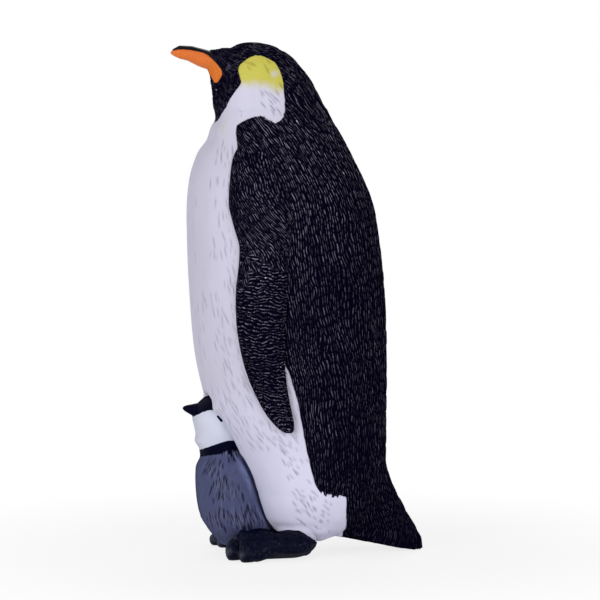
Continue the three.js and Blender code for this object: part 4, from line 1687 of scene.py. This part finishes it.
    def carve_eyes(self, skin: Skin, layers: Layers) -> None:
        """Raise the eyes, each in a bare ring with a sunk rim.

        Args:
            skin: the skin
            layers: the paint at each point, to which the eyes are added
        """
        apart = self.eye_distance(skin.points)
        radius = self.eye_radius
        skin.carve *= ease(radius, self.bare_ring * radius, apart)
        dome = np.sqrt(np.clip(1.0 - (apart / radius) ** 2, 0.0, 1.0))
        rim = np.exp(-(((apart - self.rim_radius * radius) / (self.rim_width * radius)) ** 2))
        skin.raised += self.eye_height * (dome - self.rim_depth * rim)
        layers["eye"] = radius - apart

    def build(self) -> None:
        """Model the body and the head."""
        points, owners = self.shape()
        centre = np.array((0.0, self.form.axis[0][1], self.cap_height))
        shares = (np.arange(self.cap_rings) / self.cap_rings)[:, None, None]
        cap = centre + (points[:1] - centre) * shares
        owners = np.vstack((owners[:1].repeat(self.cap_rings, axis=0), owners))
        skin = Skin(np.concatenate((cap, points)))
        layers = self.layers(skin.points)
        self.carve(skin, layers)
        piece = skin.build("plumage", layers, owners[:-1])
        materials = {node: Plumage(f"{node}_plumage").make() for node in self.form.nodes}
        seat_parts(piece, materials, self.slots, "feathers")


@dataclass
class Flipper:
    """One flipper: a lens-shaped blade with feathers above its wrist and scaly ridges below it."""

    side: Side

    # The blade: a film is the reach of a first guess, and how often it is relaxed
    row_step: float = 0.2
    end_rows: int = 12
    end_length: float = 1.0
    chords: int = 64
    columns: int = 136
    margin: float = 0.02
    search: Pair = (-16.5, -2.0)
    search_step: float = 0.05
    edge_gap: float = 0.01
    edge_blur: Pair = (5.0, 0.1)
    face_blur: Pair = (5.0, 5.0)
    edge_film: tuple[float, int] = (3.0, 60)
    peg_film: tuple[float, int] = (8.0, 200)
    thickest: float = 3.3

    # The feathers: turns are degrees, and cells are rows and columns
    comb: Comb = Comb()
    wrist: float = 54.0
    wrist_spread: float = 2.2
    wrist_cells: Pair = (4.0, 4.0)
    upper_turn: float = 34.0
    lower_turn: float = 86.0
    lower_pitch: float = 0.75
    speckle: float = 2.2
    middle_share: float = 0.25
    middle_cells: Pair = (5.0, 5.0)
    # strength of the painted highlights on the ridges, and the size of its patches
    ridge_shine: float = 1.05
    sheen_cells: Pair = (14.0, 14.0)
    unpainted: tuple[str, ...] = ("white", "gape", "yellow", "eye", "pale")

    def heights(self) -> Array:
        """Space the rings up the blade, closer at its ends."""
        low, high = (corner.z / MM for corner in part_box("left_flipper"))
        end = self.end_length * np.linspace(0.0, 1.0, self.end_rows, endpoint=False) ** 2 + self.margin
        top = high - self.end_length - self.margin
        middle = np.arange(low + self.end_length + self.margin, top, self.row_step)
        return np.concatenate((low + end, middle, high - end[::-1]))

    @staticmethod
    def cast(tree: SolidTree, start: float, back: Array, level: Array, way: float) -> Array:
        """Measure level rays across the blade, which go left for a way of 1 and right for -1."""
        starts = np.stack((np.full(back.shape, start), back, level), axis=-1)
        return tree.cast(starts, np.broadcast_to((way, 0.0, 0.0), starts.shape))[0]

    def blade(self) -> tuple[Array, Array]:
        """Sample the outer and the inner face of the left blade.

        Returns:
            The points of each face, in rows from the front edge back.
        """
        tree = SolidTree("left_flipper")
        heights = self.heights()
        search = np.arange(*self.search, self.search_step)
        level, back = np.meshgrid(heights, search, indexing="ij")
        hit = ~np.isnan(self.cast(tree, CLEAR_OF_FIGURE, back, level, -1.0))
        front = search[np.argmax(hit, axis=1)]
        rear = search[len(search) - 1 - np.argmax(hit[:, ::-1], axis=1)]
        shares = np.linspace(self.edge_gap, 1.0 - self.edge_gap, self.chords)
        back = smoothed(front[:, None] + (rear - front)[:, None] * shares, *self.edge_blur, closed=False)
        level = np.broadcast_to(heights[:, None], back.shape)
        outer = CLEAR_OF_FIGURE - self.cast(tree, CLEAR_OF_FIGURE, back, level, -1.0)
        inner = self.cast(tree, 0.0, back, level, 1.0)
        missing = np.isnan(outer) | np.isnan(inner)
        outer = filled(np.nan_to_num(outer), missing, *self.edge_film)
        pegged = missing | (outer - np.nan_to_num(inner) > self.thickest)
        inner = filled(np.nan_to_num(inner), pegged, *self.peg_film)
        outer = smoothed(outer, *self.face_blur, closed=False)
        inner = smoothed(inner, *self.face_blur, closed=False)
        return np.stack((outer, back, level), axis=-1), np.stack((inner, back, level), axis=-1)

    def rings(self) -> tuple[Array, Array]:
        """Join the faces of the left blade in even rings.

        Returns:
            The rings, which run along the outer face from the front edge and back along the inner one,
            and which of their points lie outside.
        """
        outer, inner = self.blade()
        rings = np.concatenate((outer, inner[:, ::-1], outer[:, :1]), axis=1)
        path = np.cumsum(np.linalg.norm(np.diff(rings, axis=1), axis=-1), axis=1)
        path = np.hstack((np.zeros((len(rings), 1)), path))
        even = path[:, -1:] * np.arange(self.columns) / self.columns
        places = [
            [np.interp(marks, run, axis) for axis in ring.T] for marks, run, ring in zip(even, path, rings)
        ]
        outside = even < path[:, self.chords:self.chords + 1]
        return np.array(places).transpose(0, 2, 1), outside.astype(float)

    def lanes(self, skin: Skin) -> tuple[Array, Array]:
        """Lay out the lanes of the feathers, which turn from down to back along the blade.

        Args:
            skin: the skin

        Returns:
            The number of each point's lane and of its dash, with their parts.
        """
        path = np.cumsum(skin.round_step, axis=1)
        from_front = path if self.side is Side.LEFT else path[:, -1:] - path
        rise = skin.points[..., 2] - self.wrist
        lower = rise < self.wrist_spread * cloud(rise.shape, *self.wrist_cells, seed=25)
        turn = np.radians(np.where(lower, self.lower_turn, self.upper_turn))
        aside = from_front * np.cos(turn) + rise * np.sin(turn)
        along = from_front * np.sin(turn) - rise * np.cos(turn)
        middle = self.middle_share * path[:, -1:] + cloud(rise.shape, *self.middle_cells, seed=27)
        aside = np.where(lower, aside * self.lower_pitch, aside)
        along = along + np.where(lower, self.speckle * np.maximum(from_front - middle, 0.0), 0.0)
        return self.comb.lay(aside, along, seed=21 + self.side.value)

    def build(self) -> None:
        """Model the flipper."""
        points, outside = self.rings()
        ends = [np.broadcast_to(row.mean(axis=0), row.shape) for row in (points[0], points[-1])]
        points = np.concatenate((ends[:1], points, ends[1:]))
        outside = np.vstack((outside[:1], outside, outside[-1:]))
        if self.side is Side.RIGHT:
            points = points[:, ::-1] * np.array((-1.0, 1.0, 1.0))
            outside = outside[:, ::-1]
        skin = Skin(points)
        lane, run = self.lanes(skin)
        self.comb.carve(skin, outside, lane, run)
        ridge_shine = self.ridge_shine * uneven(lane.shape, self.sheen_cells, seed=23)
        layers = {"lane": lane, "run": run, "ridge_shine": ridge_shine}
        layers |= {coating: np.full(lane.shape, -1.0) for coating in self.unpainted}
        node = f"{self.side.name.lower()}_flipper"
        piece = skin.build(f"{node}_feathers", layers)
        dress(piece, node, Slot.BLACK_FEATHERS, Plumage(f"{node}_plumage").make())


@dataclass
class Bill:
    """The adult's bill: orange plates under a black ridge, with the line of the mouth between them."""

    voxel: float = 0.13
    rounds: int = 10
    groove_depth: float = 0.1
    groove_width: float = 0.16
    ridge: Outline = Outline((
        (165.0, 51.2), (172.5, 50.6), (178.0, 49.4), (186.0, 49.4), (196.0, 50.8), (206.0, 53.0),
        (215.0, 62.0), (222.0, 71.0), (240.0, 80.0), (240.0, 30.0), (165.0, 30.0),
    ))
    root: float = 212.0
    root_reach: float = 3.0

    def build(self) -> None:
        """Model the bill."""
        piece = cast_of("bill", "bill_horn", self.voxel)
        relax(piece, self.rounds)
        points = points_of(piece)
        pixels = PHOTO.pixels(points)
        ridge = self.ridge.depth(pixels)
        groove = self.groove_depth * np.exp(-((ridge / self.groove_width) ** 2))
        move_points(piece, points - normals_of(piece) * groove[:, None])
        write_layer(piece, "ridge", ridge)
        from_root = (pixels[:, 0] - self.root) / PHOTO.pixels_per_mm
        write_layer(piece, "root", np.clip(from_root, -self.root_reach, self.root_reach))
        dress(piece, "bill", Slot.ORANGE_BILL, Horn().make())


@dataclass
class Foot:
    """One foot: pebbled skin over the instep and toes, and smooth claws.

    Attributes:
        heel: how far back the smoother heel starts, and where it is smoothest
        pebble_middle: shade of a pebble's cell that stays in place
        toe_tips: where the left foot's claws start
        claw: a claw's length and way
        claw_edge: millimetres inside a claw where the pebbles start to fade, and where they are gone
        slope: how far back the slope behind the toes lies, how far it is raised, and its spread
        tops: the instep's top line, by how far back it lies
        easing: how softly the instep stays under that line
        far_toes: where the right foot's toes start to be pressed, where most, and by what share
    """

    side: Side
    voxel: float = 0.17
    rounds: int = 10
    heel: Pair = (-7.5, -4.5)
    heel_rounds: int = 30
    pebble: float = 0.85
    pebble_middle: float = 0.35
    relief: float = 0.13
    toe_tips: tuple[Triple, ...] = ((6.54, -12.35, 1.6), (9.80, -13.22, 1.6), (12.88, -11.31, 1.6))
    claw: Triple = (0.0, -1.9, -0.15)
    claw_reach: float = 1.75
    claw_ends: Pair = (0.15, 1.2)
    claw_edge: Pair = (-0.25, 0.15)
    sole_edge: Pair = (0.5, 0.15)
    slope: Triple = (-12.8, 1.35, 1.5)
    slope_heights: Pair = (1.5, 3.2)
    slope_sides: Pair = (6.5, 9.0)
    tops: tuple[Pair, ...] = (
        (-9.0, 6.6), (-6.0, 5.1), (-4.9, 4.85), (-4.1, 5.3), (-3.2, 5.6), (-2.1, 5.5), (-1.1, 5.05),
        (0.3, 4.1), (1.0, 3.7), (1.8, 3.2),
    )
    easing: float = 0.6
    far_toes: Triple = (-11.5, -14.0, 0.38)
    # spots where highlights are painted on the toes
    painted_highlights: tuple[Triple, ...] = ((227.3, 552.0, 3.4), (234.8, 537.5, 1.5), (241.2, 555.3, 3.0))

    def claw_depth(self, points: Array) -> Array:
        """Measure how far points lie inside the claws.

        Args:
            points: the points

        Returns:
            Millimetres inside the nearest claw, below zero outside it.
        """
        near = points * np.array((float(self.side.value), 1.0, 1.0))
        way = np.array(self.claw)
        depths = []
        for tip in self.toe_tips:
            offset = near - np.array(tip)
            share = np.clip(offset @ way / (way @ way), *self.claw_ends)
            depths.append(self.claw_reach - np.linalg.norm(offset - share[:, None] * way, axis=1))
        return np.max(depths, axis=0)

    @staticmethod
    def weigh(piece: Piece, name: str, weights: Array) -> None:
        """Give a piece a vertex group with a weight for each point."""
        group = piece.vertex_groups.new(name=name)
        for index, weight in enumerate(weights.tolist()):
            group.add([index], weight, "REPLACE")

    def trimmed(self, points: Array) -> Array:
        """Raise the slope behind the toes and keep the instep under its top line, without the leg's peg.

        Args:
            points: the points of the cast

        Returns:
            The moved points.
        """
        across, back, height = points.T
        middle, rise, spread = self.slope
        slope = rise * np.exp(-(((back - middle) / spread) ** 2))
        slope *= ease(*self.slope_sides, np.abs(across))
        raised = height + slope * ease(*self.slope_heights, height)
        under = read_off(self.tops, back) - self.easing
        over = np.maximum(raised - under, 0.0)
        lowered = np.minimum(raised, under) + self.easing * (1.0 - np.exp(-over / self.easing))
        start, end, press = self.far_toes
        share = 1.0 - press * ease(start, end, back) * (self.side is Side.RIGHT)
        return np.stack((across, back, lowered * share), axis=1)

    def build(self) -> None:
        """Model the foot."""
        node = f"{self.side.name.lower()}_foot"
        piece = cast_of(node, f"{node}_skin", self.voxel)
        move_points(piece, self.trimmed(points_of(piece)))
        relax(piece, self.rounds)
        self.weigh(piece, "heel", ease(*self.heel, points_of(piece)[:, 1]))
        relax(piece, self.heel_rounds, "heel")
        before = points_of(piece)
        claw = self.claw_depth(before)
        bare = ease(*self.claw_edge, claw) + ease(*self.sole_edge, before[:, 2])
        self.weigh(piece, "pebbled", np.clip(1.0 - bare, 0.0, 1.0))
        cells = bpy.data.textures.new(f"{node}_pebbles", "VORONOI")
        cells.noise_scale = self.pebble * MM
        use(
            piece, "DISPLACE", texture=cells, texture_coords="LOCAL", vertex_group="pebbled",
            strength=-self.relief * MM, mid_level=self.pebble_middle,
        )
        after = points_of(piece)
        sunk = np.einsum("ij,ij->i", after - before, normals_of(piece))
        after[:, 2] = np.maximum(after[:, 2], 0.0)
        move_points(piece, after)
        write_layer(piece, "carve", np.minimum(sunk, 0.0))
        write_layer(piece, "claw", claw)
        # Painted highlights on the toes
        write_layer(piece, "highlight_paint", spots(PHOTO.pixels(after), self.painted_highlights))
        dress(piece, node, Slot.BLACK_FEET, FootSkin(f"{node}_finish").make())


# The chick


@dataclass
class Chick:
    """The chick, carved as one skin and parted again into its body and its head."""

    slots: tuple[Slot, ...] = (Slot.GREY_DOWN, Slot.WHITE_DOWN)

    # Paint: places and the eye in pixels of the photograph, teeth and the painted light band in millimetres
    cap: Outline = Outline((
        (170.0, 412.0), (184.0, 414.0), (190.0, 419.0), (193.0, 417.0), (198.4, 414.5), (202.2, 412.0),
        (208.3, 410.4), (214.0, 410.2), (222.0, 409.5), (260.0, 400.0), (260.0, 380.0), (170.0, 380.0),
    ))
    face: Outline = Outline((
        (170.0, 400.0), (260.0, 400.0), (260.0, 438.0), (240.0, 440.0), (232.0, 440.5), (226.0, 441.0),
        (218.0, 443.7), (208.0, 447.2), (200.7, 449.6), (190.0, 452.0), (170.0, 452.0),
    ))
    collar: Outline = Outline((
        (190.0, 457.5), (201.0, 456.8), (207.0, 455.8), (214.0, 454.8), (222.0, 453.8), (229.0, 453.4),
        (239.5, 452.6), (262.0, 451.0), (262.0, 420.0), (190.0, 420.0),
    ))
    body: Outline = Outline((
        (150.0, 440.0), (238.0, 448.0), (241.0, 456.0), (246.0, 466.0), (250.0, 474.0), (256.0, 490.0),
        (260.5, 504.0), (265.0, 518.0), (272.0, 527.0), (280.0, 545.0), (150.0, 560.0),
    ))
    eye: tuple[Pair, Pair] = ((217.9, 416.4), (221.3, 420.6))
    eye_radius: float = 1.4
    teeth: Triple = (232.0, 453.0, 8.0)
    tooth_columns: int = 3
    tooth_length: float = 2.2
    tooth_draw: float = 8.0
    lit_band_start: Pair = (0.1, 0.4)
    lit_band_end: Pair = (1.7, 0.6)

    # The form: blurs are rows and columns, and a pair says where something starts and where it is full
    broad_blur: Pair = (3.6, 4.2)
    fine_blur: Pair = (1.5, 1.5)
    bill_heights: Pair = (24.0, 25.0)
    bill_angles: Pair = (0.6, 0.4)
    cheek: Triple = (196.0, 442.0, 5.0)
    cheek_height: float = 0.35
    rump_rings: int = 8
    rump_drop: float = 1.0

    # The down: tufts are places and sizes in the photograph, and fans are angles
    tufts: tuple[tuple[float, float, float, float], ...] = (
        (213.0, 467.5, 10.0, 7.5), (224.0, 490.0, 13.0, 11.0), (231.0, 453.0, 9.0, 6.0),
        (220.0, 518.5, 13.0, 9.0), (246.0, 519.0, 19.0, 12.0),
    )
    tuft: Stroke = Stroke(rise=1.1, round=0.55, length=2.5, half_width=0.25, depth=0.24, scatter=4.0)
    lock: Stroke = Stroke(rise=1.0, round=0.42, length=2.6, half_width=0.14, depth=0.1, scatter=4.0)
    lock_share: float = 0.65
    fluff: Stroke = Stroke(rise=0.9, round=0.6, length=1.5, half_width=0.22, depth=0.07, scatter=12.0)
    body_fluff: float = 0.3
    head_fluff: float = 0.2
    fringe_top: Pair = (9.0, 7.0)
    fan: float = 13.0
    fan_middle: Pair = (1.3, 0.7)
    fan_spread: float = 0.5

    def __post_init__(self) -> None:
        """Set out the form."""
        self.form = RadialForm(
            nodes=("chick_body", "chick_head"),
            guests=(),
            axis=((2.0, -12.4), (21.0, -13.2), (30.0, -13.4)),
            columns=320,
            low=2.3,
            joint=20.0,
            row_steps=(0.16, 0.16),
            dome_centre=24.8,
            dome_radius=5.6,
        )

    def shape(self) -> tuple[Array, Array]:
        """Sample the chick and smooth it.

        Returns:
            The points, and the node that each belongs to.
        """
        form = self.form
        stations = np.repeat(form.levels()[:, None], form.columns, axis=1)
        reach, _, owners = form.sample(stations)
        from_front = math.pi - form.from_rear
        bill = ease(*self.bill_heights, stations) * ease(*self.bill_angles, from_front)
        broad = smoothed(reach, *self.broad_blur)
        fine = smoothed(reach, *self.fine_blur)
        reach = broad + (fine - broad) * bill
        return form.places(stations, reach, form.angles), form.owner_map(owners)

    def carve(self, skin: Skin, owners: Array) -> Array:
        """Carve the tufts of down and raise locks between them.

        Args:
            skin: the skin
            owners: the node of each point

        Returns:
            How far each point lies in a lock, from 0 to 1.
        """
        fringe = ease(*self.fringe_top, skin.points[..., 2])
        body = owners == 0
        upper, lower = self.fan_middle
        middle = upper + (lower - upper) * fringe
        turned = np.clip((math.pi - self.form.from_rear - middle) / self.fan_spread, -1.0, 1.0)
        flow = self.fan * turned * np.sign(np.cos(self.form.angles))[None, :]
        tufted = self.tufted(PHOTO.pixels(skin.points)) * body
        skin.scratch(self.tuft, tufted, flow, seed=41)
        locks = skin.strokes(self.lock, self.lock_share * tufted, flow, seed=43)
        skin.scratch(self.fluff, np.where(body, self.body_fluff, self.head_fluff), flow, seed=42)
        skin.raised += locks
        return locks / self.lock.depth

    def tufted(self, pixels: Array) -> Array:
        """Give the chance of a tuft at each place."""
        chances = []
        for across, down, wide, tall in self.tufts:
            apart = ((pixels[..., 0] - across) / wide) ** 2 + ((pixels[..., 1] - down) / tall) ** 2
            chances.append(np.exp(-(apart**2)))
        return np.max(chances, axis=0)

    def eye_depth(self, pixels: Array) -> Array:
        """Measure how deep places lie inside the closed eye, a short slanting dash."""
        start, end = np.array(self.eye)
        way = end - start
        share = np.clip((pixels - start) @ way / (way @ way), 0.0, 1.0)
        apart = np.linalg.norm(pixels - start - share[..., None] * way, axis=-1)
        return (self.eye_radius - apart) / PHOTO.pixels_per_mm

    def build(self) -> None:
        """Model the chick."""
        points, owners = self.shape()
        middle = points[:1].mean(axis=1, keepdims=True)
        lift = np.linspace(-math.pi / 2.0, 0.0, self.rump_rings, endpoint=False)[:, None, None]
        drop = np.array((0.0, 0.0, self.rump_drop))
        rump = middle + (points[:1] - middle) * np.cos(lift) + drop * np.sin(lift)
        owners = np.vstack((owners[:1].repeat(self.rump_rings, axis=0), owners))
        skin = Skin(np.concatenate((rump, points)))
        locks = self.carve(skin, owners)
        pixels = PHOTO.pixels(skin.points)
        skin.raised += self.cheek_height * spot(pixels, self.cheek)
        face = self.face.depth(pixels)
        tooth = np.arange(self.form.columns) // self.tooth_columns
        ragged = self.tooth_length * (chance(tooth, self.tooth_draw) - 0.5) * spot(pixels, self.teeth)
        collar = np.minimum(self.collar.depth(pixels) + ragged, -face)
        black = np.maximum.reduce((self.cap.depth(pixels), collar, self.eye_depth(pixels)))
        # Painted light: the grey is lifted in a band inside the chick's edge against the belly, where shade
        # falls, leaving the outermost edge dark
        inside = self.body.depth(pixels)
        flank = ease(*self.lit_band_start, inside) * ease(*self.lit_band_end, inside)
        layers = {"face": face, "black": black, "lock": locks, "flank": flank}
        piece = skin.build("chick_down", layers, owners[:-1])
        materials = {node: Down(f"{node}_down").make() for node in self.form.nodes}
        seat_parts(piece, materials, self.slots, "coat")


# The studio


def aim(name: str, tool: bpy.types.Light | bpy.types.Camera, way: Array, distance: float) -> bpy.types.Object:
    """Aim a lamp or a camera at the figure.

    Args:
        name: what it is called
        tool: the lamp or the camera
        way: which way from the figure it stands
        distance: how far off it stands

    Returns:
        The object that holds it.
    """
    holder = bpy.data.objects.new(name, tool)
    holder.location = Vector(PHOTO.target) * MM + Vector(way) * distance * MM
    holder.rotation_euler = Vector(way).to_track_quat("Z", "Y").to_euler()
    bpy.context.scene.collection.objects.link(holder)
    return holder


@dataclass(frozen=True)
class Softbox:
    """A soft square lamp that is aimed at the figure, in degrees, millimetres and watts."""

    name: str
    azimuth: float
    elevation: float
    distance: float
    size: float
    power: float

    def set_up(self) -> None:
        """Hang the lamp."""
        lamp = bpy.data.lights.new(self.name, "AREA")
        lamp.size = self.size * MM
        lamp.energy = self.power
        aim(self.name, lamp, way_to(self.azimuth, self.elevation), self.distance)


@dataclass(frozen=True)
class Studio:
    """A pale floor, soft lamps and the photograph's camera."""

    sensor: float = 36.0
    floor_size: float = 6000.0
    floor_colour: Colour = (0.94, 0.94, 0.94, 1.0)
    floor_roughness: float = 0.9
    floor_glow: float = 0.8
    shadow_reach: Pair = (0.03, 0.1)
    sky: float = 0.42
    lamps: tuple[Softbox, ...] = (
        Softbox("key", 45.0, 14.0, 800.0, 300.0, 2.2),
        Softbox("fill", 105.0, 8.0, 800.0, 350.0, 1.9),
        Softbox("rim", 250.0, 40.0, 800.0, 400.0, 1.5),
    )

    def set_up(self) -> None:
        """Set up the floor, the light and the camera."""
        scene = bpy.context.scene
        scene.view_settings.view_transform = "Standard"
        self.lay_floor()
        self.light_world()
        for lamp in self.lamps:
            lamp.set_up()
        camera = bpy.data.cameras.new("camera")
        camera.sensor_width = self.sensor
        camera.lens = self.sensor * PHOTO.distance * PHOTO.pixels_per_mm / PHOTO.frame_pixels
        scene.camera = aim("camera", camera, way_to(PHOTO.azimuth, PHOTO.elevation), PHOTO.distance)

    @staticmethod
    def seen(sheet: Sheet) -> Socket:
        """Tell rays that show the background from rays that carry light.

        Args:
            sheet: the sheet of the floor or the world

        Returns:
            1 for a ray that shows the background.
        """
        path = sheet.add("ShaderNodeLightPath").outputs
        shown = sheet.sum("MAXIMUM", path["Is Camera Ray"], path["Is Glossy Ray"])
        return sheet.sum("MAXIMUM", shown, path["Is Transmission Ray"])

    def lay_floor(self) -> None:
        """Lay a pale floor that keeps the shadow and fades to white round it."""
        bpy.ops.object.select_all(action="DESELECT")
        bpy.ops.mesh.primitive_grid_add(size=self.floor_size * MM, location=(0.0, 0.0, 0.0))
        floor = bpy.context.object
        floor.name = "floor"
        sheet = PaintSheet("floor_paper")
        sheet.feed({
            "Base Color": self.floor_colour,
            "Roughness": self.floor_roughness,
            "Specular IOR Level": 0.0,
        })
        place = sheet.add("ShaderNodeTexCoord").outputs["Object"]
        apart = sheet.add("ShaderNodeVectorMath", {0: place}, operation="LENGTH").outputs["Value"]
        far = sheet.ease(apart, *self.shadow_reach)
        glow = sheet.add("ShaderNodeEmission", {"Strength": 1.0}).outputs[0]
        share = sheet.times(sheet.mix(far, self.floor_glow, 1.0), self.seen(sheet))
        mix = sheet.add("ShaderNodeMixShader", {0: share, 1: sheet.shader.outputs[0], 2: glow}).outputs[0]
        sheet.fill(sheet.tree.nodes["Material Output"], {"Surface": mix})
        floor.data.materials.append(sheet.material)
        floor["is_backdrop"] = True

    def light_world(self) -> None:
        """Light the room evenly, and show it white."""
        world = bpy.data.worlds.new("studio")
        world.use_nodes = True
        sheet = Sheet(world.node_tree)
        strength = sheet.mix(self.seen(sheet), self.sky, 1.0)
        sheet.fill(sheet.tree.nodes["Background"], {"Color": WHITE, "Strength": strength})
        bpy.context.scene.world = world


def main() -> None:
    """Build the figure and the studio."""
    logging.basicConfig(level=logging.INFO, format="%(name)s: %(message)s")
    Studio().set_up()
    Effects().draw()
    Adult().build()
    for side in Side:
        Flipper(side).build()
        Foot(side).build()
    Bill().build()
    Chick().build()
    boxes = {"cad": CAD_BOX, "visual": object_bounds()}
    {name: [list(corner) for corner in box] for name, box in boxes.items()}


if __name__ == "__main__":
    main()
